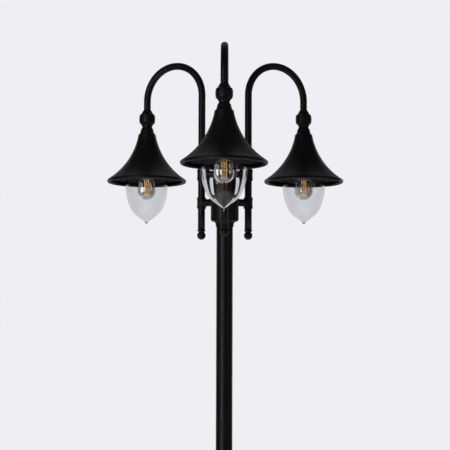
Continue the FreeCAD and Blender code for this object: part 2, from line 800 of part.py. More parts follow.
def make_knuckle(head, angle):
    """Turned barrel that joins the arm tube to the shade."""
    top = size.knuckle_height
    collar_bottom = top - size.knuckle_collar_height
    shoulder_bottom = collar_bottom - size.knuckle_shoulder_height
    barrel_top = shoulder_bottom - size.knuckle_barrel_top
    barrel_bottom = barrel_top - size.knuckle_barrel_height
    socket_floor = top - size.knuckle_socket_depth
    body = turned(f"barrel_{head}", [
        (stem_hole_radius, zero),
        (size.knuckle_waist_radius, zero),
        (size.knuckle_shoulder_radius, size.knuckle_waist_height, -size.knuckle_waist_arc_radius),
        (size.knuckle_barrel_radius, barrel_bottom),
        (size.knuckle_barrel_radius, barrel_top, size.knuckle_barrel_arc_radius),
        (size.knuckle_shoulder_radius, shoulder_bottom),
        (size.knuckle_collar_radius, collar_bottom),
        (size.knuckle_mouth_radius, top),
        (arm_socket_radius, top),
        (arm_socket_radius, socket_floor),
        (stem_hole_radius, socket_floor),
    ])
    screw_height = (barrel_bottom + barrel_top) / 2 + size.screw_radius * 3
    depth = size.knuckle_barrel_radius * 1.2
    sketch = sketch_on(body, "YZ_Plane", f"barrel_{head}_screw", -depth)
    draw_circle(sketch, "screw", screw_hole_radius, zero, screw_height)
    drill(body, sketch, f"barrel_{head}_drill", depth - size.arm_radius, backwards=True)
    place_on_lamp(body, angle, knuckle_bottom)
    finish(body, f"knuckle_{head}")
    return grub_screw(f"barrel_grub_{head}", angle + 180, size.lamp_spread * cosine(angle),
                      size.lamp_spread * sine(angle), knuckle_bottom + screw_height,
                      size.arm_radius, size.knuckle_screw_length)


def make_shade_cap(head, angle):
    """Small bell cap between the knuckle and the shade."""
    flange = size.cap_flange_height
    body = turned(f"bell_{head}", [
        (stem_hole_radius, zero),
        (size.shade_neck_radius, zero),
        (size.shade_neck_radius, flange),
        (size.cap_skirt_radius, flange + flange / 3),
        (size.cap_neck_radius + flange / 3, size.cap_neck_height, -size.cap_skirt_arc_radius),
        (size.cap_neck_radius, size.cap_neck_height + flange),
        (size.knuckle_waist_radius, size.cap_height),
        (stem_hole_radius, size.cap_height),
    ])
    place_on_lamp(body, angle, shade_top)
    finish(body, f"shade_cap_{head}")


def make_shade(head, angle):
    """Spun trumpet shade with a rolled bead round its rim."""
    bead_across = size.shade_radius - size.shade_bead_radius
    bead_up = size.shade_bead_rise
    outer_join = polar(bead_across, bead_up, size.shade_bead_radius, size.shade_bead_outer_angle)
    inner_join = polar(bead_across, bead_up, size.shade_bead_radius, size.shade_bead_inner_angle)
    under = size.shade_height - size.shade_wall
    body = turned(f"trumpet_{head}", [
        (bead_across, bead_up - size.shade_bead_radius, size.shade_bead_radius),
        (size.shade_radius, bead_up, size.shade_bead_radius),
        (*outer_join, size.shade_bead_radius),
        (size.shade_neck_radius, size.shade_height, -size.shade_flare_arc_radius),
        (stem_hole_radius, size.shade_height),
        (stem_hole_radius, under),
        (size.shade_neck_radius - size.shade_wall, under),
        (*inner_join, size.shade_flare_arc_radius + size.shade_wall),
        (bead_across - size.shade_bead_radius, bead_up, size.shade_bead_radius),
    ])
    place_on_lamp(body, angle, rim)
    finish(body, f"shade_{head}")


def make_stem(head, angle):
    """Hollow threaded stem that hangs the lampholder from the knuckle."""
    stem = new_body(f"stem_{head}")
    ring = sketch_on(stem, "XY_Plane", f"stem_{head}_ring")
    draw_circle(ring, "outside", size.stem_radius)
    draw_circle(ring, "inside", size.stem_bore_radius)
    pad(stem, ring, f"stem_{head}_pad", size.stem_length)
    place_on_lamp(stem, angle, rim + size.holder_top - size.holder_thread_depth)
    return stem


def make_nut(name, angle, bottom):
    """Hexagon nut on the stem."""
    nut = new_body(name)
    half = size.nut_across_flats / 2
    corner = size.nut_across_flats / root(as_size(3))
    outline = sketch_on(nut, "XY_Plane", f"{name}_outline")
    draw_path(outline, [(corner, zero), (corner / 2, half), (-corner / 2, half),
                        (-corner, zero), (-corner / 2, -half), (corner / 2, -half)])
    draw_circle(outline, "thread", stem_hole_radius)
    pad(nut, outline, f"{name}_pad", size.nut_height)
    place_on_lamp(nut, angle, bottom)
    return nut


def make_lampholder(head, angle):
    """Ceramic lampholder with a skirt round the bulb's cap."""
    bottom = size.holder_top - size.holder_height
    skirt_top = bottom + size.holder_skirt_height
    body_bottom = skirt_top + size.gallery_wall
    body_top = body_bottom + size.holder_body_height
    collar_bottom = size.holder_top - size.holder_collar_height
    socket_radius = size.bulb_cap_radius + size.turning_gap
    thread_floor = size.holder_top - size.holder_thread_depth
    socket_top = bottom + size.holder_socket_depth
    body = turned(f"holder_{head}", [
        (socket_radius, bottom),
        (size.holder_skirt_radius, bottom),
        (size.holder_skirt_radius, skirt_top),
        (size.holder_body_radius, body_bottom),
        (size.holder_body_radius, body_top),
        (size.holder_dome_radius, collar_bottom, size.holder_dome_arc_radius),
        (size.holder_dome_radius, size.holder_top),
        (size.stem_radius, size.holder_top),
        (size.stem_radius, thread_floor),
        (zero, thread_floor),
        (zero, socket_top),
        (socket_radius, socket_top),
    ])
    place_on_lamp(body, angle, rim)
    finish(body, f"lampholder_{head}")


def make_gallery(head, angle):
    """Spun cup inside the shade, with a seat and an outer thread for the glass."""
    collar_inside = size.glass_radius + size.glass_flange_width + size.turning_gap
    collar_outside = collar_inside + size.gallery_collar_wall
    bottom = size.gallery_collar_bottom
    seat = bottom + size.gallery_seat_depth
    collar_top = bottom + size.gallery_collar_height
    plate_top = size.holder_top + size.gallery_wall
    body = turned(f"cup_{head}", [
        (collar_inside, bottom),
        (collar_outside, bottom),
        (collar_outside, collar_top),
        (size.gallery_top_radius, plate_top),
        (stem_hole_radius, plate_top),
        (stem_hole_radius, size.holder_top),
        (size.gallery_top_radius - size.gallery_wall / 2, size.holder_top),
        (collar_outside - size.gallery_collar_wall, collar_top - size.gallery_wall / 4),
        (collar_outside - size.gallery_collar_wall, seat + size.gallery_seat_thickness),
        (collar_inside - size.gallery_seat_width, seat + size.gallery_seat_thickness),
        (collar_inside - size.gallery_seat_width, seat),
        (collar_inside, seat),
    ])
    place_on_lamp(body, angle, rim)
    finish(body, f"glass_gallery_{head}")


def glass_top():
    """Height of the glass's top face over the rim, under the gasket."""
    seat = size.gallery_collar_bottom + size.gallery_seat_depth
    return seat - size.seat_gap - size.gasket_thickness


def make_glass(head, angle):
    """Blown acorn glass: flanged neck, swelling bowl and a drawn nipple."""
    flange_radius = size.glass_radius + size.glass_flange_width
    top = glass_top()
    flange_bottom = top - size.glass_flange_height
    shoulder_up = top - size.glass_neck_height
    wall = size.glass_wall
    shoulder_across = size.glass_radius - size.glass_shoulder_arc_radius
    angle_one = -size.glass_shoulder_angle
    angle_two = -size.glass_bowl_angle
    shoulder_end = polar(shoulder_across, shoulder_up, size.glass_shoulder_arc_radius, angle_one)
    bowl_across = shoulder_end[0] - size.glass_bowl_arc_radius * cosine(angle_one)
    bowl_up = shoulder_end[1] - size.glass_bowl_arc_radius * sine(angle_one)
    inner_shoulder = polar(shoulder_across, shoulder_up, size.glass_shoulder_arc_radius - wall, angle_one)
    bowl_end = polar(bowl_across, bowl_up, size.glass_bowl_arc_radius, angle_two)
    inner_bowl = polar(bowl_across, bowl_up, size.glass_bowl_arc_radius - wall, angle_two)
    slope = cosine(size.glass_bowl_angle) / sine(size.glass_bowl_angle)
    root_across = size.glass_nipple_radius + size.glass_nipple_root
    root_up = bowl_end[1] - (bowl_end[0] - root_across) * slope
    nipple_up = root_up - size.glass_nipple_root
    inner_tip_up = inner_bowl[1] - (inner_bowl[0] - size.glass_inner_tip_radius) * slope
    body = turned(f"acorn_{head}", [
        (zero, nipple_up - size.glass_nipple_height),
        (size.glass_nipple_radius, nipple_up - size.glass_nipple_height + size.glass_nipple_radius,
         size.glass_nipple_radius),
        (size.glass_nipple_radius, nipple_up),
        (root_across, root_up, -size.glass_nipple_root * 1.3),
        bowl_end,
        (*shoulder_end, size.glass_bowl_arc_radius),
        (size.glass_radius, shoulder_up, size.glass_shoulder_arc_radius),
        (size.glass_radius, flange_bottom),
        (flange_radius, flange_bottom),
        (flange_radius, top),
        (size.glass_radius - wall, top),
        (size.glass_radius - wall, shoulder_up),
        (*inner_shoulder, -(size.glass_shoulder_arc_radius - wall)),
        (*inner_bowl, -(size.glass_bowl_arc_radius - wall)),
        (size.glass_inner_tip_radius, inner_tip_up),
        (zero, inner_tip_up - size.glass_inner_tip_radius / 4, -size.glass_inner_tip_radius * 2.1),
    ])
    place_on_lamp(body, angle, rim)
    finish(body, f"glass_{head}")

    gasket = new_body(f"gasket_{head}_body")
    ring = sketch_on(gasket, "XY_Plane", f"gasket_{head}_ring")
    draw_circle(ring, "outside", flange_radius)
    draw_circle(ring, "inside", size.glass_radius - wall)
    pad(gasket, ring, f"gasket_{head}_pad", size.gasket_thickness)
    place_on_lamp(gasket, angle, rim + top)
    finish(gasket, f"gasket_{head}")


def make_ring(head, angle):
    """Threaded ring that screws up the gallery and carries the glass by its flange."""
    collar_outside = (size.glass_radius + size.glass_flange_width + size.turning_gap
                      + size.gallery_collar_wall)
    lip_top = glass_top() - size.glass_flange_height - size.seat_gap
    bottom = lip_top - size.ring_lip_height
    thread_radius = collar_outside + size.turning_gap
    outside = thread_radius + size.ring_wall
    lip_radius = size.glass_radius + size.turning_gap
    bevel = size.ring_lip_height / 4
    body = turned(f"clamp_{head}", [
        (lip_radius, bottom),
        (outside - bevel, bottom),
        (outside, bottom + bevel),
        (outside, bottom + size.ring_height),
        (thread_radius, bottom + size.ring_height),
        (thread_radius, lip_top),
        (lip_radius, lip_top),
    ])
    place_on_lamp(body, angle, rim)
    finish(body, f"glass_ring_{head}")


def make_bulb(head, angle, cap_top):
    """Round filament bulb: clear envelope, screw cap and four upright filaments."""
    bottom = cap_top - size.bulb_length
    centre = bottom + size.bulb_radius
    skirt = cap_top - size.bulb_contact_height - size.bulb_cap_height
    neck_top = skirt + size.bulb_cap_lap - size.seat_gap
    wall = size.bulb_glass_wall
    outer = polar(zero, centre, size.bulb_radius, size.bulb_sphere_angle)
    inner = polar(zero, centre, size.bulb_radius - wall, size.bulb_sphere_angle)
    envelope = turned(f"envelope_{head}", [
        (zero, bottom),
        (size.bulb_radius, centre, size.bulb_radius),
        (*outer, size.bulb_radius),
        (size.bulb_neck_radius, skirt, -size.bulb_neck_arc_radius),
        (size.bulb_neck_radius, neck_top),
        (size.bulb_neck_radius - wall, neck_top),
        (size.bulb_neck_radius - wall, skirt),
        (*inner, size.bulb_neck_arc_radius + wall),
        (size.bulb_radius - wall, centre, -(size.bulb_radius - wall)),
        (zero, bottom + wall, -(size.bulb_radius - wall)),
    ])
    place_on_lamp(envelope, angle, rim)
    finish(envelope, f"bulb_glass_{head}")

    shoulder = cap_top - size.bulb_contact_height
    lap_radius = size.bulb_neck_radius + size.seat_gap
    cap = turned(f"screwcap_{head}", [
        (lap_radius, skirt),
        (size.bulb_cap_radius, skirt),
        (size.bulb_cap_radius, shoulder - size.bulb_cap_taper),
        (size.bulb_contact_radius * 2, shoulder),
        (size.bulb_contact_radius, shoulder),
        (size.bulb_contact_radius, cap_top),
        (zero, cap_top),
        (zero, skirt + size.bulb_cap_lap),
        (lap_radius, skirt + size.bulb_cap_lap),
    ])
    place_on_lamp(cap, angle, rim)
    finish(cap, f"bulb_cap_{head}")
    return make_filaments(head, angle, skirt + size.bulb_cap_lap)


def make_filaments(head, angle, mount_height):
    """Glass stem with four filament rods hung from crossed wires."""
    rods_top = mount_height - size.filament_stem_length + size.filament_stem_radius
    rods_bottom = rods_top - size.filament_length
    body = turned(f"filament_{head}", [
        (zero, mount_height - size.filament_stem_length),
        (size.filament_stem_radius / 2, mount_height - size.filament_stem_length),
        (size.filament_stem_radius, mount_height),
        (zero, mount_height),
    ])
    ring = sketch_on(body, "XY_Plane", f"filament_{head}_rod", rods_bottom)
    draw_circle(ring, "rod", size.filament_radius, size.filament_circle_radius)
    rod = pad(body, ring, f"filament_{head}_rod_pad", size.filament_length)
    wire_start = size.filament_stem_radius / 4
    wire = sketch_on(body, "YZ_Plane", f"filament_{head}_wire", wire_start)
    draw_circle(wire, "wire", size.filament_wire_radius, zero,
                rods_top - size.filament_wire_radius * 2)
    spoke = pad(body, wire, f"filament_{head}_wire_pad", size.filament_circle_radius - wire_start)
    repeat_round(body, [rod, spoke], f"filament_{head}_round", 4)
    place_on_lamp(body, angle, rim)
    return body


make_foot()
make_post()
block_top = make_hub()
bracket_screws = []
knuckle_screws = []
leads = []
stems = []
nuts = []
filaments = []
for head, angle in head_angles.items():
    tiers = {"lower": size.lower_tier_height, "upper": size.upper_tier_height}
    for tier, tier_height in tiers.items():
        bracket_screws.append(make_bracket(f"bracket_{tier}_{head}", angle,
                                           hub_bottom + tier_height))
    make_arm(head, angle)
    make_finial(head, angle)
    leads.append(make_lead(head, angle, block_top))
    knuckle_screws.append(make_knuckle(head, angle))
    make_shade_cap(head, angle)
    make_shade(head, angle)
    stems.append(make_stem(head, angle))
    nuts.append(make_nut(f"shade_nut_{head}", angle,
                         shade_top - size.shade_wall - size.nut_height))
    nuts.append(make_nut(f"gallery_nut_{head}", angle,
                         rim + size.holder_top + size.gallery_wall))
    make_lampholder(head, angle)
    make_gallery(head, angle)
    make_glass(head, angle)
    make_ring(head, angle)
    cap_top = size.holder_top - size.holder_height + size.holder_socket_depth
    filaments.append(make_bulb(head, angle, cap_top))
group("bracket_grub_screws", bracket_screws)
group("knuckle_grub_screws", knuckle_screws)
group("arm_leads", leads)
group("stem_nipples", stems)
group("stem_locknuts", nuts)
group("bulb_filaments", filaments)

doc.recompute()

failed = [item.Label for item in doc.Objects if {"Invalid", "Error"} & set(item.State)]
if failed:
    raise SystemExit(f"failed features: {failed}")
for piece in finished_pieces:
    if piece.Shape.isNull() or not piece.Shape.isValid():
        raise SystemExit(f"{piece.Label} has no valid shape")

os.makedirs("parts", exist_ok=True)
for piece in finished_pieces:
    piece.Shape.exportStep(f"parts/{piece.Label}.step")
    box = piece.Shape.BoundBox
    print(f"{piece.Label:24s} {len(piece.Shape.Solids):2d} solids  volume {piece.Shape.Volume:12.1f}"
          f"  z {box.ZMin:8.1f} to {box.ZMax:8.1f}")
print(f"{len(finished_pieces)} pieces, {rim.value:.1f} mm from the ground to the shade's rim")
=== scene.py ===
import math

import bmesh
import bpy
from mathutils import Matrix, Vector


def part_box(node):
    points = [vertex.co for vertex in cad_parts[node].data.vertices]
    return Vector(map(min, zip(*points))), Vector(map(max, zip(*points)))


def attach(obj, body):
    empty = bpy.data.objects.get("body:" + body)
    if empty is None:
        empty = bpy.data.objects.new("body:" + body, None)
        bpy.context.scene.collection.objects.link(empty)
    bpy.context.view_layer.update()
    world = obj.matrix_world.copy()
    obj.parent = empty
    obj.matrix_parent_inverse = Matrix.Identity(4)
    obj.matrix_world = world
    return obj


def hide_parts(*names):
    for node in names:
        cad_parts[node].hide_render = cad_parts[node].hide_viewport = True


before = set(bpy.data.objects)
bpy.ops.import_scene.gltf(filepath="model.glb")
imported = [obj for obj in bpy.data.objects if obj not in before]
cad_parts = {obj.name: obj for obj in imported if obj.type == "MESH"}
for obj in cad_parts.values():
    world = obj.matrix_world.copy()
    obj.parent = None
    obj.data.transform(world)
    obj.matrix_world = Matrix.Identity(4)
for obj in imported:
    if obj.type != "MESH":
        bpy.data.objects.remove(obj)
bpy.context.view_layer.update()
print("frame loaded")

# Outlines below are in millimetres: (across, up) ends a straight run, and (across, up, radius)
# ends an arc from the corner before it, which turns left where the radius is positive.
mm = 0.001
heads = {"front": -90, "right": 30, "left": 150}   # each arm's direction in degrees
lampAxis = 287     # from the post's axis to each lamp's axis
armAxis = 83       # from the post's axis to each arm's straight leg
shadeHeight = 148  # from a shade's rim to its top
screwHole = 3.15   # radius of the grub screws' holes
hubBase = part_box("hub_casting")[0].z / mm
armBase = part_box("arm_tube_front")[0].z / mm
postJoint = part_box("post_upper_tube")[0].z / mm
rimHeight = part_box("shade_cap_front")[0].z / mm - shadeHeight
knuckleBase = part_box("knuckle_front")[0].z / mm


def linearColour(hexText):
    channels = []
    for start in (0, 2, 4):
        value = int(hexText[start:start + 2], 16) / 255
        channels.append(value / 12.92 if value <= 0.04045 else ((value + 0.055) / 1.055) ** 2.4)
    return (*channels, 1.0)


def addNode(tree, kind, settings=None, inputs=None, links=None):
    # settings are the node's own properties, inputs its plain values, links its wired sockets
    node = tree.nodes.new(kind)
    for name, value in (settings or {}).items():
        setattr(node, name, value)
    for name, value in (inputs or {}).items():
        node.inputs[name].default_value = value
    for name, socket in (links or {}).items():
        tree.links.new(socket, node.inputs[name])
    return node


def newMaterial(name):
    material = bpy.data.materials.new(name)
    material.use_nodes = True
    material.node_tree.nodes.clear()
    return material, material.node_tree


curveSettings = {"degrees": 9, "fewest": 3, "span": 6, "most": 24}   # steps of an outline's arcs
creaseAngle = 32         # degrees between two faces from which their edge is sharp
weldDistance = 0.002     # mm
noiseRange = (0.3, 0.7)  # the part of a noise's range that its values fill


def drawOutline(mesh, corners):
    last = mesh.verts.new((corners[0][0], 0, corners[0][1]))
    for corner in corners[1:]:
        end = Vector((corner[0], 0, corner[1]))
        if len(corner) == 2:
            last = bmesh.ops.extrude_vert_indiv(mesh, verts=[last])["verts"][0]
        else:
            chord = end - last.co
            radius = abs(corner[2])
            left = Vector((-chord.z, 0, chord.x)).normalized()
            toCentre = math.sqrt(max(0, radius ** 2 - (chord.length / 2) ** 2))
            centre = (last.co + end) / 2 + left * math.copysign(toCentre, corner[2])
            sweep = 2 * math.asin(min(1, chord.length / 2 / radius))
            byAngle = math.ceil(math.degrees(sweep) / curveSettings["degrees"])
            byLength = math.ceil(chord.length / curveSettings["span"])
            steps = max(curveSettings["fewest"], byAngle, min(curveSettings["most"], byLength))
            spun = bmesh.ops.spin(mesh, geom=[last], cent=centre, steps=steps, angle=sweep,
                                  axis=(0, math.copysign(1, -corner[2]), 0))
            last = [item for item in spun["geom_last"] if isinstance(item, bmesh.types.BMVert)][0]
        last.co = end


def sharpEdges(mesh):
    return [edge for edge in mesh.edges
            if len(edge.link_faces) == 2 and edge.calc_face_angle(0) > math.radians(creaseAngle)]


def turnedMesh(corners, steps, bevel=0, closed=False, base=0):
    # a turned form about the vertical, as a bmesh in millimetres
    mesh = bmesh.new()
    drawOutline(mesh, [(corner[0], corner[1] + base, *corner[2:]) for corner in corners])
    if closed:
        mesh.verts.ensure_lookup_table()
        ends = [vert for vert in mesh.verts if len(vert.link_edges) == 1]
        bmesh.ops.contextual_create(mesh, geom=ends)
    bmesh.ops.rotate(mesh, verts=mesh.verts, cent=(0, 0, 0),
                     matrix=Matrix.Rotation(math.pi / steps, 3, "Z"))
    bmesh.ops.spin(mesh, geom=mesh.verts[:] + mesh.edges[:], cent=(0, 0, 0), axis=(0, 0, 1),
                   angle=2 * math.pi, steps=steps, use_merge=True)
    bmesh.ops.remove_doubles(mesh, verts=mesh.verts, dist=weldDistance)
    bmesh.ops.recalc_face_normals(mesh, faces=mesh.faces)
    if bevel:
        bmesh.ops.bevel(mesh, geom=sharpEdges(mesh), offset=bevel, segments=2, profile=0.5,
                        affect="EDGES", material=-1, clamp_overlap=True)
    return mesh


def addMesh(whole, mesh):
    # moves one bmesh into another
    part = bpy.data.meshes.new("part")
    mesh.to_mesh(part)
    mesh.free()
    whole.from_mesh(part)
    bpy.data.meshes.remove(part)


def newObject(mesh, name, material=None):
    # writes a bmesh in metres to an object at the origin
    data = bpy.data.meshes.new(name)
    mesh.to_mesh(data)
    mesh.free()
    if material:
        data.materials.append(material)
    piece = bpy.data.objects.new(name, data)
    bpy.context.collection.objects.link(piece)
    return piece


def evenNormals(piece):
    normals = piece.modifiers.new("evenNormals", "WEIGHTED_NORMAL")
    normals.weight = 80


def pieceFrom(mesh, name, material, place=None, even=True):
    # writes a bmesh in millimetres to an object at the origin, with its place in its mesh
    if place is not None:
        mesh.transform(place)
    mesh.transform(Matrix.Scale(mm, 4))
    for face in mesh.faces:
        face.smooth = True
    piece = newObject(mesh, name, material)
    if even:
        evenNormals(piece)
    return piece


def bakeModifiers(piece):
    # keeps the evaluated shape as the piece's own mesh
    bpy.context.view_layer.update()
    evaluated = piece.evaluated_get(bpy.context.evaluated_depsgraph_get())
    shape = bpy.data.meshes.new_from_object(evaluated)
    piece.modifiers.clear()
    piece.data = shape


def cutWith(piece, cutters):
    # cuts round holes; each cutter is a bmesh in millimetres, already in place
    joined = bmesh.new()
    for cutter in cutters:
        addMesh(joined, cutter)
    joined.transform(Matrix.Scale(mm, 4))
    tool = newObject(joined, "cutter")
    cut = piece.modifiers.new("holes", "BOOLEAN")
    cut.operation = "DIFFERENCE"
    cut.solver = "EXACT"
    cut.object = tool
    bakeModifiers(piece)
    data = tool.data
    bpy.data.objects.remove(tool)
    bpy.data.meshes.remove(data)
    for polygon in piece.data.polygons:
        polygon.use_smooth = True
    evenNormals(piece)


def drillBit(radius, depth, chamfer, steps=24):
    # a hole's cutter along +Z, whose mouth at height 0 is chamfered, and which stands out of it
    mouth = radius + chamfer
    proud = 4
    return turnedMesh([(0, -depth), (radius, -depth), (radius, -chamfer), (mouth, 0),
                       (mouth, proud), (0, proud)], steps=steps)


def sideways(angle, radius, height):
    # turns a form made along +Z so that it points out of the vertical axis at an angle
    return (Matrix.Rotation(math.radians(angle), 4, "Z") @ Matrix.Translation((radius, 0, height))
            @ Matrix.Rotation(math.pi / 2, 4, "Y"))


def screwBits(angles, face, height, depth, chamfer, axis=Matrix.Identity(4)):
    # cutters for the grub screws' holes, which start on a round face and point at its axis
    bits = []
    for angle in angles:
        bit = drillBit(screwHole, depth, chamfer)
        bit.transform(axis @ sideways(angle, face, height))
        bits.append(bit)
    return bits


def lampCentre(head, height):
    angle = math.radians(heads[head])
    return Matrix.Translation((lampAxis * math.cos(angle), lampAxis * math.sin(angle), height))


def onLamp(head, base=0):
    turn = Matrix.Rotation(math.radians(heads[head]), 4, "Z")
    return lampCentre(head, rimHeight + base) @ turn


def onArm(head):
    turn = Matrix.Rotation(math.radians(heads[head]), 4, "Z")
    return turn @ Matrix.Translation((armAxis, 0, armBase))


def mergedCopy(node, name, material):
    # a CAD node's own shape with its loose triangles merged, so that it shades smoothly
    mesh = bmesh.new()
    mesh.from_mesh(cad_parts[node].data)
    bmesh.ops.remove_doubles(mesh, verts=mesh.verts, dist=weldDistance * mm)
    for face in mesh.faces:
        face.smooth = True
    for edge in sharpEdges(mesh):
        edge.smooth = False
    return newObject(mesh, name, material)


def declare(piece, body, slot, *nodes):
    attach(piece, body)
    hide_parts(*nodes)


cameraSettings = {
    "place": (0.0309, -3.8229, 1.5384),
    "yaw": -0.449,       # degrees, to the right of +Y
    "pitch": 5.101,
    "roll": -0.168,
    "lens": 100.93,      # for a sensor 36 mm wide
}


def makeCamera():
    yaw = math.radians(cameraSettings["yaw"])
    pitch = math.radians(cameraSettings["pitch"])
    ahead = Vector((math.sin(yaw) * math.cos(pitch), math.cos(yaw) * math.cos(pitch),
                    math.sin(pitch)))
    right = Vector((math.cos(yaw), -math.sin(yaw), 0))
    turn = Matrix.Rotation(math.radians(cameraSettings["roll"]), 3, ahead)
    right = turn @ right
    up = right.cross(ahead)
    camera = bpy.data.objects.new("camera", bpy.data.cameras.new("camera"))
    camera.data.lens = cameraSettings["lens"]
    camera.data.sensor_width = 36
    camera.data.clip_end = 200
    camera.matrix_world = (Matrix.Translation(cameraSettings["place"])
                           @ Matrix((right, up, -ahead)).transposed().to_4x4())
    bpy.context.collection.objects.link(camera)
    bpy.context.scene.camera = camera


studioSettings = {
    "backdrop": "EFEEF3",
    "soft": 0.42,            # the world's level for diffuse light
    "darkStudio": 0.015,     # what a gloss surface sees in front and overhead
    "paleStudio": 0.42,      # what it sees behind the post
    # how far back a direction points where each view of the back starts, and where it is full
    "behind": (0.4, 0.95),   # for gloss
    "leading": (0.2, 0.7),   # for light that leaves glass after a reflection in it
    "lampAim": 2.0,          # the height that the lamps point at
    "floorPaper": "FBFAFD",
    "floorRadius": 7.0,
    "floorFade": (0.9, 2.8),
    "floorLift": 0.22,       # how much the camera alone sees the floor lifted towards the backdrop
}

lampSettings = {
    # name: degrees left of the camera, distance, height, width, tall, power, what it serves
    "softboxLeft": (34, 3.0, 1.9, 1.1, 2.6, 17.5, "all"),
    "bulbCard": (68, 1.25, 2.0, 0.6, 1.0, 5.0, "bulbs"),
    "softboxRight": (-62, 3.2, 2.1, 0.8, 2.2, 2.4, "all"),
    "softboxTop": (178, 1.6, 4.6, 2.2, 1.0, 2.4, "all"),
    "rimBoxLeft": (146, 3.0, 2.1, 0.8, 2.4, 9.0, "coat"),    # these two shape it from behind
    "rimBoxRight": (-146, 3.0, 2.1, 0.8, 2.4, 9.0, "coat"),
}

# the lamps that serve the coat alone leave these pieces out
glassPieces = bpy.data.collections.new("glassPieces")


def makeWorld():
    world = bpy.data.worlds.new("studio")
    bpy.context.scene.world = world
    world.use_nodes = True
    tree = world.node_tree
    tree.nodes.clear()
    ray = addNode(tree, "ShaderNodeLightPath")
    pale = linearColour(studioSettings["backdrop"])
    white = (1, 1, 1, 1)
    # a gloss surface sees the pale backdrop behind the post and the dark studio elsewhere
    sky = addNode(tree, "ShaderNodeTexCoord")
    parts = addNode(tree, "ShaderNodeSeparateXYZ", links={"Vector": sky.outputs["Generated"]})
    start, full = studioSettings["behind"]
    behind = addNode(tree, "ShaderNodeMapRange", {"interpolation_type": "SMOOTHSTEP"},
                     {"From Min": start, "From Max": full, "To Min": studioSettings["darkStudio"],
                      "To Max": studioSettings["paleStudio"]}, {"Value": parts.outputs["Y"]})
    backdrop = addNode(tree, "ShaderNodeBackground", inputs={"Color": pale, "Strength": 1.0})
    gloss = addNode(tree, "ShaderNodeBackground", inputs={"Color": pale},
                    links={"Strength": behind.outputs["Result"]})
    soft = addNode(tree, "ShaderNodeBackground",
                   inputs={"Color": white, "Strength": studioSettings["soft"]})
    sharp = addNode(tree, "ShaderNodeMath", {"operation": "MAXIMUM"},
                    links={0: ray.outputs["Is Glossy Ray"], 1: ray.outputs["Is Transmission Ray"]})
    litOrGloss = addNode(tree, "ShaderNodeMixShader",
                         links={0: sharp.outputs[0], 1: soft.outputs[0], 2: gloss.outputs[0]})
    # glass shows the backdrop straight through it, and after a reflection inside its walls only
    # where that still leads to the back
    straight = addNode(tree, "ShaderNodeMath", {"operation": "LESS_THAN"}, {1: 0.5},
                       {0: ray.outputs["Glossy Depth"]})
    start, full = studioSettings["leading"]
    leading = addNode(tree, "ShaderNodeMapRange", inputs={"From Min": start, "From Max": full},
                      links={"Value": parts.outputs["Y"]})
    either = addNode(tree, "ShaderNodeMath", {"operation": "MAXIMUM"},
                     links={0: straight.outputs[0], 1: leading.outputs["Result"]})
    through = addNode(tree, "ShaderNodeMath", {"operation": "MULTIPLY"},
                      links={0: ray.outputs["Is Transmission Ray"], 1: either.outputs[0]})
    seen = addNode(tree, "ShaderNodeMath", {"operation": "MAXIMUM"},
                   links={0: ray.outputs["Is Camera Ray"], 1: through.outputs[0]})
    mixed = addNode(tree, "ShaderNodeMixShader",
                    links={0: seen.outputs[0], 1: litOrGloss.outputs[0], 2: backdrop.outputs[0]})
    addNode(tree, "ShaderNodeOutputWorld", links={"Surface": mixed.outputs[0]})


def makeLamp(name):
    azimuth, distance, height, width, tall, power, serves = lampSettings[name]
    lamp = bpy.data.lights.new(name, "AREA")
    lamp.shape = "RECTANGLE"
    lamp.size = width
    lamp.size_y = tall
    lamp.energy = power
    lamp.use_nodes = True
    tree = lamp.node_tree
    tree.nodes.clear()
    # Glass shows a lamp in its reflections, but not straight through its walls. The bulbs' card
    # shows only to light that went through the acorn glass and was reflected inside it.
    ray = addNode(tree, "ShaderNodeLightPath")
    bounced = addNode(tree, "ShaderNodeMath", {"operation": "GREATER_THAN"}, {1: 0.5},
                      {0: ray.outputs["Glossy Depth"]})
    if serves == "bulbs":
        compare, wallsPassed, join = "GREATER_THAN", 2.5, "MULTIPLY"
    else:
        compare, wallsPassed, join = "LESS_THAN", 0.5, "MAXIMUM"
    walls = addNode(tree, "ShaderNodeMath", {"operation": compare}, {1: wallsPassed},
                    {0: ray.outputs["Transmission Depth"]})
    level = addNode(tree, "ShaderNodeMath", {"operation": join},
                    links={0: bounced.outputs[0], 1: walls.outputs[0]})
    glow = addNode(tree, "ShaderNodeEmission", links={"Strength": level.outputs[0]})
    addNode(tree, "ShaderNodeOutputLight", links={"Surface": glow.outputs[0]})
    holder = bpy.data.objects.new(name, lamp)
    angle = math.radians(azimuth)
    place = Vector((-distance * math.sin(angle), -distance * math.cos(angle), height))
    aim = Vector((0, 0, studioSettings["lampAim"])) - place
    holder.matrix_world = (Matrix.Translation(place)
                           @ aim.to_track_quat("-Z", "Y").to_matrix().to_4x4())
    holder.visible_camera = False
    if serves == "coat":
        holder.light_linking.receiver_collection = glassPieces
    bpy.context.collection.objects.link(holder)


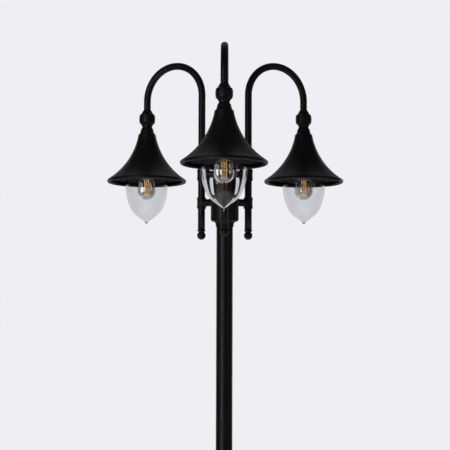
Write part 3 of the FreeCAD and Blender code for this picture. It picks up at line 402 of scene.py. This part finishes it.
def makeFloor():
    material, tree = newMaterial("palePaperFloor")
    where = addNode(tree, "ShaderNodeTexCoord")
    away = addNode(tree, "ShaderNodeVectorMath", {"operation": "LENGTH"},
                   links={0: where.outputs["Object"]})
    near, far = studioSettings["floorFade"]
    fade = addNode(tree, "ShaderNodeMapRange", {"interpolation_type": "SMOOTHSTEP"},
                   {"From Min": near, "From Max": far, "To Min": 0.0, "To Max": 1.0},
                   {"Value": away.outputs["Value"]})
    paper = addNode(tree, "ShaderNodeBsdfDiffuse",
                    inputs={"Color": linearColour(studioSettings["floorPaper"])})
    ray = addNode(tree, "ShaderNodeLightPath")
    lift = addNode(tree, "ShaderNodeMath", {"operation": "MULTIPLY"},
                   {1: studioSettings["floorLift"]}, {0: ray.outputs["Is Camera Ray"]})
    glow = addNode(tree, "ShaderNodeEmission",
                   inputs={"Color": linearColour(studioSettings["backdrop"])},
                   links={"Strength": lift.outputs[0]})
    lit = addNode(tree, "ShaderNodeAddShader", links={0: paper.outputs[0], 1: glow.outputs[0]})
    clear = addNode(tree, "ShaderNodeBsdfTransparent")
    mix = addNode(tree, "ShaderNodeMixShader",
                  links={0: fade.outputs["Result"], 1: lit.outputs[0], 2: clear.outputs[0]})
    addNode(tree, "ShaderNodeOutputMaterial", links={"Surface": mix.outputs[0]})
    mesh = bmesh.new()
    bmesh.ops.create_circle(mesh, cap_ends=True, segments=96, radius=studioSettings["floorRadius"])
    floor = newObject(mesh, "floor", material)


makeCamera()
makeWorld()
for name in lampSettings:
    makeLamp(name)
makeFloor()
bpy.context.scene.view_settings.view_transform = "Standard"
print("camera and studio made")


coatSettings = {
    # peel: spacing of the orange peel in mm; wave: slower unevenness of the metal below it in mm
    "castPowderCoat": {"colour": "08080A", "rough": 0.47, "peel": 1.6, "depth": 0.035, "wave": 14},
    "tubePowderCoat": {"colour": "08080A", "rough": 0.44, "peel": 1.3, "depth": 0.02, "wave": 40},
    "spunPowderCoat": {"colour": "070708", "rough": 0.48, "peel": 1.3, "depth": 0.02, "wave": 26},
}

wearSettings = {
    "smoother": 0.05,        # how far the roughness falls below and rises above the coat's own
    "rougher": 0.07,
    "dust": "101012",
    "dustFrom": 0.45,        # the noise's values where the dust starts and is full
    "dustFull": 0.8,
    "dustMost": 0.35,
    "waveDepth": 0.08,       # mm
}


def powderCoat(name):
    # Black satin powder coat: a baked polymer skin with a fine orange peel, so its highlights
    # are soft-edged and slightly broken, and dust dulls it here and there.
    values = coatSettings[name]
    wear = wearSettings
    material, tree = newMaterial(name)
    where = addNode(tree, "ShaderNodeTexCoord")
    peel = addNode(tree, "ShaderNodeTexNoise",
                   inputs={"Scale": 1 / (values["peel"] * mm), "Detail": 2.0, "Roughness": 0.45},
                   links={"Vector": where.outputs["Object"]})
    wave = addNode(tree, "ShaderNodeTexNoise",
                   inputs={"Scale": 1 / (values["wave"] * mm), "Detail": 3.0, "Roughness": 0.55},
                   links={"Vector": where.outputs["Object"]})
    rough = addNode(tree, "ShaderNodeMapRange",
                    inputs={"From Min": noiseRange[0], "From Max": noiseRange[1],
                            "To Min": values["rough"] - wear["smoother"],
                            "To Max": values["rough"] + wear["rougher"]},
                    links={"Value": wave.outputs["Fac"]})
    dust = addNode(tree, "ShaderNodeMapRange",
                   inputs={"From Min": wear["dustFrom"], "From Max": wear["dustFull"],
                           "To Min": 0.0, "To Max": wear["dustMost"]},
                   links={"Value": wave.outputs["Fac"]})
    colour = addNode(tree, "ShaderNodeMix", {"data_type": "RGBA"},
                     {6: linearColour(values["colour"]), 7: linearColour(wear["dust"])},
                     {0: dust.outputs["Result"]})
    slow = addNode(tree, "ShaderNodeBump",
                   inputs={"Strength": 0.25, "Distance": wear["waveDepth"] * mm},
                   links={"Height": wave.outputs["Fac"]})
    bump = addNode(tree, "ShaderNodeBump",
                   inputs={"Strength": 1.0, "Distance": values["depth"] * mm},
                   links={"Height": peel.outputs["Fac"], "Normal": slow.outputs["Normal"]})
    coat = addNode(tree, "ShaderNodeBsdfPrincipled", inputs={"IOR": 1.5, "Metallic": 0.0},
                   links={"Base Color": colour.outputs[2], "Roughness": rough.outputs["Result"],
                          "Normal": bump.outputs["Normal"]})
    addNode(tree, "ShaderNodeOutputMaterial", links={"Surface": coat.outputs[0]})
    return material


glassSettings = {
    # tint is what a wall lets through face on; edge is painted shade, the tint darkened where a
    # wall is seen edge on, standing in for dark surroundings seen through it, with a little of the
    # longer path's real absorption; wave is the blown surface's unevenness in mm; lustre is the
    # IOR of a metal oxide coat; film is a thin film's depth in nm, and 0 leaves either out
    "blownClearGlass": {"tint": "F0F1F2", "edge": "D3D6D9", "wave": 34, "depth": 0.05,
                        "lustre": 0, "film": 620},
    "smokedBulbGlass": {"tint": "EFEAE4", "edge": "8C8884", "wave": 22, "depth": 0.02,
                        "lustre": 3.0, "film": 0},
}
edgeOn = (0.6, 0.95)     # how far a wall is turned away where its edge colour starts and is full
filmIor = 1.46           # close to the glass's own, so that the film's colours stay faint


def blownGlass(name):
    # Soda-lime glass blown in a mould: clear, smooth and slightly uneven, with painted shade that
    # greys it where the eye looks along its wall. A lustre coat makes a bulb a half mirror, and a
    # film tints its edges.
    values = glassSettings[name]
    material, tree = newMaterial(name)
    where = addNode(tree, "ShaderNodeTexCoord")
    wave = addNode(tree, "ShaderNodeTexNoise",
                   inputs={"Scale": 1 / (values["wave"] * mm), "Detail": 1.0, "Roughness": 0.4},
                   links={"Vector": where.outputs["Object"]})
    bump = addNode(tree, "ShaderNodeBump",
                   inputs={"Strength": 0.4, "Distance": values["depth"] * mm},
                   links={"Height": wave.outputs["Fac"]})
    # painted shade: the tint turns to the darker edge colour where a wall is seen edge on
    facing = addNode(tree, "ShaderNodeLayerWeight", inputs={"Blend": 0.5})
    along = addNode(tree, "ShaderNodeMapRange", {"interpolation_type": "SMOOTHSTEP"},
                    {"From Min": edgeOn[0], "From Max": edgeOn[1]},
                    {"Value": facing.outputs["Facing"]})
    tint = addNode(tree, "ShaderNodeMix", {"data_type": "RGBA"},
                   {6: linearColour(values["tint"]), 7: linearColour(values["edge"])},
                   {0: along.outputs["Result"]})
    glass = addNode(tree, "ShaderNodeBsdfPrincipled",
                    inputs={"Roughness": 0.0, "IOR": 1.5, "Transmission Weight": 1.0},
                    links={"Base Color": tint.outputs[2], "Normal": bump.outputs["Normal"]})
    if values["lustre"]:
        glass.inputs["Coat Weight"].default_value = 1.0
        glass.inputs["Coat Roughness"].default_value = 0.0
        glass.inputs["Coat IOR"].default_value = values["lustre"]
    if values["film"]:
        glass.inputs["Thin Film Thickness"].default_value = values["film"]
        glass.inputs["Thin Film IOR"].default_value = filmIor
    addNode(tree, "ShaderNodeOutputMaterial", links={"Surface": glass.outputs[0]})
    return material


plainSettings = {
    # colour, metallic, roughness, IOR, grain spacing in mm, roughness spread, bump depth in mm
    "zincPlatedSteel": ("B9BCC0", 1.0, 0.34, 1.5, 3.0, 0.12, 0.01), # slightly cloudy plating
    "blackOxideSteel": ("17171A", 1.0, 0.38, 1.5, 1.2, 0.10, 0.01), # oily dark screws
    "nickelledBrass": ("C9C2B4", 1.0, 0.22, 1.5, 4.0, 0.08, 0.01),  # pressed screw cap
    "darkSteatite": ("141312", 0.0, 0.24, 1.6, 6.0, 0.06, 0.03),    # glazed ceramic holder
    "blackNeoprene": ("0E0E0E", 0.0, 0.62, 1.52, 0.8, 0.10, 0.04),  # matt rubber lead sheath
    "gasketRubber": ("101010", 0.0, 0.70, 1.52, 0.7, 0.08, 0.04),   # matt sheet rubber
    "terminalNylon": ("D8D4C8", 0.0, 0.42, 1.53, 2.0, 0.08, 0.02),  # moulded off-white block
    "nickelWire": ("A9A6A0", 1.0, 0.25, 1.5, 1.0, 0.06, 0.0),       # drawn support wire
}


def plainFinish(name):
    # an even finish whose roughness and fine relief change over its grain's spacing
    colour, metallic, rough, ior, grain, spread, depth = plainSettings[name]
    material, tree = newMaterial(name)
    where = addNode(tree, "ShaderNodeTexCoord")
    noise = addNode(tree, "ShaderNodeTexNoise",
                    inputs={"Scale": 1 / (grain * mm), "Detail": 3.0, "Roughness": 0.5},
                    links={"Vector": where.outputs["Object"]})
    roughness = addNode(tree, "ShaderNodeMapRange",
                        inputs={"From Min": noiseRange[0], "From Max": noiseRange[1],
                                "To Min": rough - spread / 2, "To Max": rough + spread / 2},
                        links={"Value": noise.outputs["Fac"]})
    bump = addNode(tree, "ShaderNodeBump", inputs={"Strength": 0.5, "Distance": depth * mm},
                   links={"Height": noise.outputs["Fac"]})
    shader = addNode(tree, "ShaderNodeBsdfPrincipled",
                     inputs={"Base Color": linearColour(colour), "Metallic": metallic, "IOR": ior},
                     links={"Roughness": roughness.outputs["Result"],
                            "Normal": bump.outputs["Normal"]})
    addNode(tree, "ShaderNodeOutputMaterial", links={"Surface": shader.outputs[0]})
    return material


# glow is a painted glow: the bulbs are off, yet the rods' colour emits light
amberSettings = {"thick": "A85F18", "thin": "FFE6A8", "grain": 5, "change": (0.42, 0.6),
                 "rough": 0.5, "ior": 1.41, "glow": 1.1}


def amberFilament():
    # Phosphor-coated filament rods: matt amber silicone that shows paler where its coat is thin.
    # Its colour also emits light, a painted glow that makes the unlit rods look lit.
    values = amberSettings
    start, full = values["change"]
    material, tree = newMaterial("amberPhosphor")
    where = addNode(tree, "ShaderNodeTexCoord")
    grain = addNode(tree, "ShaderNodeTexNoise",
                    inputs={"Scale": 1 / (values["grain"] * mm), "Detail": 2.0},
                    links={"Vector": where.outputs["Object"]})
    thin = addNode(tree, "ShaderNodeMapRange", inputs={"From Min": start, "From Max": full},
                   links={"Value": grain.outputs["Fac"]})
    colour = addNode(tree, "ShaderNodeMix", {"data_type": "RGBA"},
                     {6: linearColour(values["thick"]), 7: linearColour(values["thin"])},
                     {0: thin.outputs["Result"]})
    # the colour also feeds the emission, so the painted glow follows its paler and darker patches
    shader = addNode(tree, "ShaderNodeBsdfPrincipled",
                     inputs={"Roughness": values["rough"], "IOR": values["ior"],
                             "Emission Strength": values["glow"]},
                     links={"Base Color": colour.outputs[2], "Emission Color": colour.outputs[2]})
    addNode(tree, "ShaderNodeOutputMaterial", links={"Surface": shader.outputs[0]})
    return material


finish = {name: powderCoat(name) for name in coatSettings}
finish.update({name: blownGlass(name) for name in glassSettings})
finish.update({name: plainFinish(name) for name in plainSettings})
finish["amberPhosphor"] = amberFilament()
print("materials made")


footSettings = {
    "outline": [(15, 0), (110, 0), (110, 9), (107, 12, 3), (80, 12), (80, 19), (77, 22, 3),
                (74, 22), (31, 100, -110), (34, 100), (34, 123), (31, 126, 3), (25.15, 126),
                (25.15, 12), (15, 12)],
    "plate": 12, "boltCircle": 90, "boltHole": 6, "boltDepth": 16, "boltChamfer": 0.8,
    "collar": 34, "screwHeight": 113, "screwDepth": 8.6, "screwChamfer": 0.4,
}


def makeFoot():
    values = footSettings
    foot = pieceFrom(turnedMesh(values["outline"], steps=96, bevel=0.5, closed=True),
                     "footCasting", finish["castPowderCoat"])
    cutters = []
    for number in range(4):
        bit = drillBit(values["boltHole"], values["boltDepth"], values["boltChamfer"], steps=32)
        bit.transform(Matrix.Rotation(math.pi / 2 * number, 4, "Z")
                      @ Matrix.Translation((values["boltCircle"], 0, values["plate"])))
        cutters.append(bit)
    cutters += screwBits((0, 120, 240), values["collar"], values["screwHeight"],
                         values["screwDepth"], values["screwChamfer"])
    cutWith(foot, cutters)
    declare(foot, "root", "cast_paint", "base_casting")


postSettings = {"outside": 25, "inside": 23, "jointInset": 40, "screwDepth": 6,
                "screwChamfer": 0.3}


def makePost():
    values = postSettings
    outside = values["outside"]
    inside = values["inside"]
    inset = values["jointInset"]
    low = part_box("post_lower_tube")[0].z / mm
    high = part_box("post_upper_tube")[1].z / mm
    for node, bottom, top, hole in (("post_lower_tube", low, postJoint, postJoint - inset),
                                    ("post_upper_tube", postJoint, high, postJoint + inset)):
        outline = [(inside, bottom), (outside, bottom), (outside, top), (inside, top)]
        tube = pieceFrom(turnedMesh(outline, steps=64, bevel=0.35, closed=True),
                         "tube_" + node, finish["tubePowderCoat"])
        cutWith(tube, screwBits((0, 180), outside, hole, values["screwDepth"],
                                values["screwChamfer"]))
        declare(tube, "root", "tube_paint", node)


hubSettings = {
    "outline": [(25.15, 0), (27.5, 0), (27.5, 8), (36, 17, -12.6), (40, 17), (42.5, 23.5),
                (42.5, 209.5), (40, 216), (36, 216), (36, 45), (23, 45), (23, 40), (25.15, 40)],
    "cap": [(0, 208), (35.85, 208), (35.85, 216), (42.5, 216), (10, 232, 68), (10, 234),
            (0, 236, 26)],
    "radius": 42.5, "screwHeight": 26.5, "screwDepth": 17, "screwChamfer": 0.4,
}


def makeHub():
    values = hubSettings
    hub = pieceFrom(turnedMesh(values["outline"], steps=80, bevel=0.5, closed=True, base=hubBase),
                    "hubDrum", finish["castPowderCoat"])
    cutWith(hub, screwBits((90, 210, 330), values["radius"], hubBase + values["screwHeight"],
                           values["screwDepth"], values["screwChamfer"]))
    declare(hub, "root", "cast_paint", "hub_casting")
    cap = pieceFrom(turnedMesh(values["cap"], steps=80, bevel=0.4, base=hubBase), "hubDome",
                    finish["castPowderCoat"])
    declare(cap, "root", "cast_paint", "hub_cap")


makeFoot()
makePost()
makeHub()
print("foot, post and hub made")


armSettings = {"radius": 11, "wall": 2, "straight": 420, "arch": 102, "drop": 51,
               "ringSteps": 40, "archSteps": 48, "straightSteps": 6, "dropSteps": 2}

finialOutline = [(0, -29.35), (13.25, -16.1, 13.25), (8.65, -6.06, 13.25), (8.65, -3.5),
                 (12.8, -3.5), (12.8, 0), (8.85, 0), (8.85, 15), (0, 15)]


def vertsAndEdges(made):
    return ([item for item in made if isinstance(item, bmesh.types.BMVert)],
            [item for item in made if isinstance(item, bmesh.types.BMEdge)])


def extrudeUp(mesh, edges, height, parts):
    for _ in range(parts):
        moved, edges = vertsAndEdges(bmesh.ops.extrude_edge_only(mesh, edges=edges)["geom"])
        bmesh.ops.translate(mesh, verts=moved, vec=(0, 0, height / parts))
        edges = [edge for edge in edges if all(vert in moved for vert in edge.verts)]
    return edges


def makeArm(head):
    values = armSettings
    mesh = bmesh.new()
    bmesh.ops.create_circle(mesh, segments=values["ringSteps"], radius=values["radius"])
    ring = extrudeUp(mesh, mesh.edges[:], values["straight"], values["straightSteps"])
    turn = bmesh.ops.spin(mesh, geom=ring + list({vert for edge in ring for vert in edge.verts}),
                          cent=(values["arch"], 0, values["straight"]), axis=(0, 1, 0),
                          angle=math.pi, steps=values["archSteps"])
    ring = vertsAndEdges(turn["geom_last"])[1]
    extrudeUp(mesh, ring, -values["drop"], values["dropSteps"])
    bmesh.ops.remove_doubles(mesh, verts=mesh.verts, dist=weldDistance)
    bmesh.ops.recalc_face_normals(mesh, faces=mesh.faces)
    arm = pieceFrom(mesh, "swanNeck_" + head, finish["tubePowderCoat"], onArm(head), even=False)
    wall = arm.modifiers.new("wall", "SOLIDIFY")
    wall.thickness = values["wall"] * mm
    wall.offset = -1
    bakeModifiers(arm)
    declare(arm, "root", "tube_paint", "arm_tube_" + head)


for head in heads:
    makeArm(head)
    finial = pieceFrom(turnedMesh(finialOutline, steps=40, bevel=0.35), "ballFinial_" + head,
                       finish["castPowderCoat"], onArm(head))
    declare(finial, "root", "cast_paint", "arm_finial_" + head)
    for tier in ("lower", "upper"):
        node = f"bracket_{tier}_{head}"
        bracket = mergedCopy(node, f"bracketTee_{tier}_{head}", finish["castPowderCoat"])
        declare(bracket, "root", "cast_paint", node)
print("arms, brackets and finials made")


knuckleSettings = {
    "outline": [(5.15, 0), (15.7, 0), (18.7, 9, -16), (24.2, 15), (24.2, 40, 61), (18.7, 45),
                (16, 50), (12.6, 56), (11.15, 56), (11.15, 34), (5.15, 34)],
    "barrel": 25.6, "screwHeight": 36.5, "screwDepth": 16, "screwChamfer": 0.4,
}

capOutline = [(5.15, shadeHeight), (27.4, shadeHeight), (27.4, 150.4, 1.3), (24.6, 152.4, -4),
              (20, 166, -30), (19, 169), (15.7, 173), (5.15, 173)]

# outerJoin and innerJoin are where the flare meets the rim's bead, in degrees round the bead
shadeSettings = {"neck": 27.8, "wall": 1.5, "flare": 217, "stemHole": 5.15, "beadAt": (119.4, 2),
                 "bead": 5.6, "outerJoin": 57, "innerJoin": 107}


def shadeOutline():
    values = shadeSettings
    across, up = values["beadAt"]
    bead = values["bead"]
    joins = []
    for angle in (values["outerJoin"], values["innerJoin"]):
        turn = math.radians(angle)
        joins.append((across + bead * math.cos(turn), up + bead * math.sin(turn)))
    under = shadeHeight - values["wall"]
    # the last point splits the bead's arc, at about 45 degrees below its inner side
    return [(across, up - bead), (across + bead, up, bead), (*joins[0], bead),
            (values["neck"], shadeHeight, -values["flare"]),
            (values["stemHole"], shadeHeight), (values["stemHole"], under),
            (values["neck"] - values["wall"], under),
            (*joins[1], values["flare"] + values["wall"]),
            (across - bead, up, bead), (across - 0.7 * bead, up - 0.714 * bead, bead)]


holderOutline = [(13.5, 21), (21, 21), (21, 34), (19.5, 35.5), (19.5, 59.5), (9, 73, 13), (9, 78),
                 (5, 78), (5, 66), (0, 66), (0, 50), (13.5, 50)]

galleryOutline = [(68.8, 34.5), (71.3, 34.5), (71.3, 46.5), (24, 79.5), (5.15, 79.5), (5.15, 78),
                  (23.25, 78), (68.8, 46.125), (68.8, 42), (59.8, 42), (59.8, 40), (68.8, 40)]

ringOutline = [(66.3, 29.9), (73.3, 29.9), (74.3, 30.9), (74.3, 41.9), (71.6, 41.9), (71.6, 33.9),
               (66.3, 33.9)]

gasketOutline = [(62, 38), (68.5, 38), (68.5, 39.9), (62, 39.9)]

# shoulder and bowl are arcs that end at those angles below the level, and drawn is the nipple
acornSettings = {"radius": 66, "wall": 3, "flange": 2.5, "flangeHeight": 4, "neckDrop": 51,
                 "top": 38, "shoulder": 170, "shoulderAngle": 23.2, "bowl": 72,
                 "bowlAngle": 54, "drawnRoot": 8, "drawnArc": 18, "drawnTip": 1.7,
                 "drawnLength": 11.5, "drawnInside": 4.5, "innerTip": 4}


def acornOutline():
    values = acornSettings
    shoulder = values["shoulder"]
    bowl = values["bowl"]
    wall = values["wall"]
    radius = values["radius"]
    top = values["top"]
    flangeBottom = top - values["flangeHeight"]
    up = top - values["neckDrop"]
    high = math.radians(-values["shoulderAngle"])
    low = math.radians(-values["bowlAngle"])

    def onArc(centre, size, angle):
        return centre[0] + size * math.cos(angle), centre[1] + size * math.sin(angle)

    shoulderCentre = (radius - shoulder, up)
    shoulderEnd = onArc(shoulderCentre, shoulder, high)
    bowlCentre = (shoulderEnd[0] - bowl * math.cos(high), shoulderEnd[1] - bowl * math.sin(high))
    innerShoulder = onArc(shoulderCentre, shoulder - wall, high)
    bowlEnd = onArc(bowlCentre, bowl, low)
    innerBowl = onArc(bowlCentre, bowl - wall, low)
    slope = 1 / math.tan(-low)
    rootUp = bowlEnd[1] - (bowlEnd[0] - values["drawnRoot"]) * slope
    tip = rootUp - values["drawnLength"]
    innerTipUp = innerBowl[1] - (innerBowl[0] - values["innerTip"]) * slope
    hollowEnd = innerTipUp - values["drawnInside"]
    return [(0, tip), (values["drawnTip"], tip + values["drawnTip"], values["drawnTip"]),
            (values["drawnRoot"], rootUp, -values["drawnArc"]), bowlEnd, (*shoulderEnd, bowl),
            (radius, up, shoulder), (radius, flangeBottom),
            (radius + values["flange"], flangeBottom), (radius + values["flange"], top),
            (radius - wall, top), (radius - wall, up), (*innerShoulder, wall - shoulder),
            (*innerBowl, wall - bowl), (values["innerTip"], innerTipUp), (1, hollowEnd, 9),
            (0, hollowEnd - 0.6, -1.4)]


bulbSettings = {"radius": 30, "centre": -27, "body": (27.5, -2, 95), "shoulder": (20, 9.5, 17),
                "neck": (12.5, 18, -14), "top": 26.9, "wall": 1}

bulbCapOutline = [(12.6, 24), (13.2, 24), (13.2, 43), (9, 47), (4.5, 47), (4.5, 50), (0, 50),
                  (0, 27), (12.6, 27)]


def bulbOutline():
    values = bulbSettings
    wall = values["wall"]
    radius = values["radius"]
    centre = values["centre"]
    inner = []
    for across, up, arc in (values["body"], values["shoulder"], values["neck"]):
        inner.append((across - wall, up, wall - arc))
    body, shoulder, neck = inner
    return [(0, centre - radius), (radius, centre, radius), values["body"], values["shoulder"],
            values["neck"], (values["neck"][0], values["top"]), (neck[0], values["top"]), neck[:2],
            (*shoulder[:2], neck[2]), (*body[:2], shoulder[2]), (radius - wall, centre, body[2]),
            (0, centre - radius + wall, wall - radius)]


headPieces = {
    # node: outline, steps, bevel, closed, piece, finish, slot, body
    "shade_cap": (capOutline, 56, 0.35, True, "bellCap", "castPowderCoat", "cast_paint", "root"),
    "shade": (shadeOutline(), 96, 0.35, True, "trumpetShade", "spunPowderCoat", "spun_paint",
              "root"),
    "lampholder": (holderOutline, 48, 0.4, True, "lampholderBody", "darkSteatite",
                   "lampholder_ceramic", "root"),
    "glass_gallery": (galleryOutline, 72, 0.3, True, "glassGallery", "spunPowderCoat",
                      "spun_paint", "root"),
    "glass_ring": (ringOutline, 72, 0.3, True, "clampRing", "castPowderCoat", "cast_paint",
                   "ring"),
    "gasket": (gasketOutline, 72, 0.2, True, "seal", "gasketRubber", "gasket_rubber",
               "glass_unit"),
    "glass": (acornOutline(), 96, 0.5, False, "acornGlass", "blownClearGlass", "lantern_glass",
              "glass_unit"),
    "bulb_glass": (bulbOutline(), 64, 0, False, "bulbEnvelope", "smokedBulbGlass", "bulb_glass",
                   "root"),
    "bulb_cap": (bulbCapOutline, 48, 0.2, False, "bulbScrewCap", "nickelledBrass", "cap_brass",
                 "root"),
}


def makeHead(head):
    values = knuckleSettings
    knuckle = pieceFrom(turnedMesh(values["outline"], steps=56, bevel=0.4, closed=True),
                        "barrelKnuckle_" + head, finish["castPowderCoat"],
                        onLamp(head, knuckleBase - rimHeight))
    cutWith(knuckle, screwBits((heads[head] + 180,), values["barrel"],
                               knuckleBase + values["screwHeight"], values["screwDepth"],
                               values["screwChamfer"], lampCentre(head, 0)))
    declare(knuckle, "root", "cast_paint", "knuckle_" + head)
    for node, settings in headPieces.items():
        outline, steps, bevel, closed, name, material, slot, body = settings
        piece = pieceFrom(turnedMesh(outline, steps, bevel, closed), f"{name}_{head}",
                          finish[material], onLamp(head))
        declare(piece, body if body == "root" else f"{body}_{head}", slot, f"{node}_{head}")
        if material in glassSettings:
            glassPieces.objects.link(piece)
            glassPieces.collection_objects[-1].light_linking.link_state = "EXCLUDE"


for head in heads:
    makeHead(head)
print("lamp heads made")


filamentSettings = {"circle": 7.4, "rods": 6, "rod": 1.3, "rodEnd": 0.78, "top": 7, "length": 50,
                    "stem": 4, "stemTip": 2, "stemTop": 27, "stemBottom": 3, "wire": 0.3}
filamentFinishes = ("amberPhosphor", "blownClearGlass", "nickelWire")


def makeFilaments():
    values = filamentSettings
    circle = values["circle"]
    tip = values["stemTip"]
    low = values["stemBottom"]
    top = values["top"]
    bottom = top - values["length"]
    stemOutline = [(0, low), (tip, low + 0.8, 2), (tip + 0.4, low + 8),
                   (values["stem"], values["stemTop"]), (0, values["stemTop"])]
    rodOutline = [(0, bottom), (values["rodEnd"], bottom), (values["rod"], bottom + 2),
                  (values["rod"], top - 2), (values["rodEnd"], top), (0, top)]
    spokeOutline = [(0, 0), (values["wire"], 0), (values["wire"], circle), (0, circle)]
    whole = bmesh.new()
    for head in heads:
        parts = [(turnedMesh(stemOutline, steps=20), Matrix.Identity(4), 1)]
        for number in range(values["rods"]):
            turn = Matrix.Rotation(2 * math.pi / values["rods"] * number, 4, "Z")
            parts.append((turnedMesh(rodOutline, steps=12),
                          turn @ Matrix.Translation((circle, 0, 0)), 0))
            parts.append((turnedMesh(spokeOutline, steps=8),
                          turn @ Matrix.Translation((0, 0, top - 0.6))
                          @ Matrix.Rotation(math.pi / 2, 4, "Y"), 2))
        for mesh, local, index in parts:
            mesh.transform(onLamp(head) @ local)
            for face in mesh.faces:
                face.material_index = index
            addMesh(whole, mesh)
    piece = pieceFrom(whole, "filamentSets", finish[filamentFinishes[0]], even=False)
    for name in filamentFinishes[1:]:
        piece.data.materials.append(finish[name])
    declare(piece, "root", "filament", "bulb_filaments")


makeFilaments()

smallPieces = {
    # node: finish and slot of the small CAD pieces whose own shape is kept
    "base_grub_screws": ("blackOxideSteel", "screw_steel"),
    "post_joint_screws": ("blackOxideSteel", "screw_steel"),
    "hub_grub_screws": ("blackOxideSteel", "screw_steel"),
    "bracket_grub_screws": ("blackOxideSteel", "screw_steel"),
    "knuckle_grub_screws": ("blackOxideSteel", "screw_steel"),
    "post_joint_sleeve": ("zincPlatedSteel", "bare_steel"),
    "terminal_plate": ("zincPlatedSteel", "bare_steel"),
    "stem_nipples": ("zincPlatedSteel", "bare_steel"),
    "stem_locknuts": ("zincPlatedSteel", "bare_steel"),
    "terminal_block": ("terminalNylon", "block_plastic"),
    "arm_leads": ("blackNeoprene", "lead_rubber"),
}
for node, (material, slot) in smallPieces.items():
    piece = mergedCopy(node, "fitted_" + node, finish[material])
    declare(piece, "root", slot, node)
print("filaments, screws and wiring made")
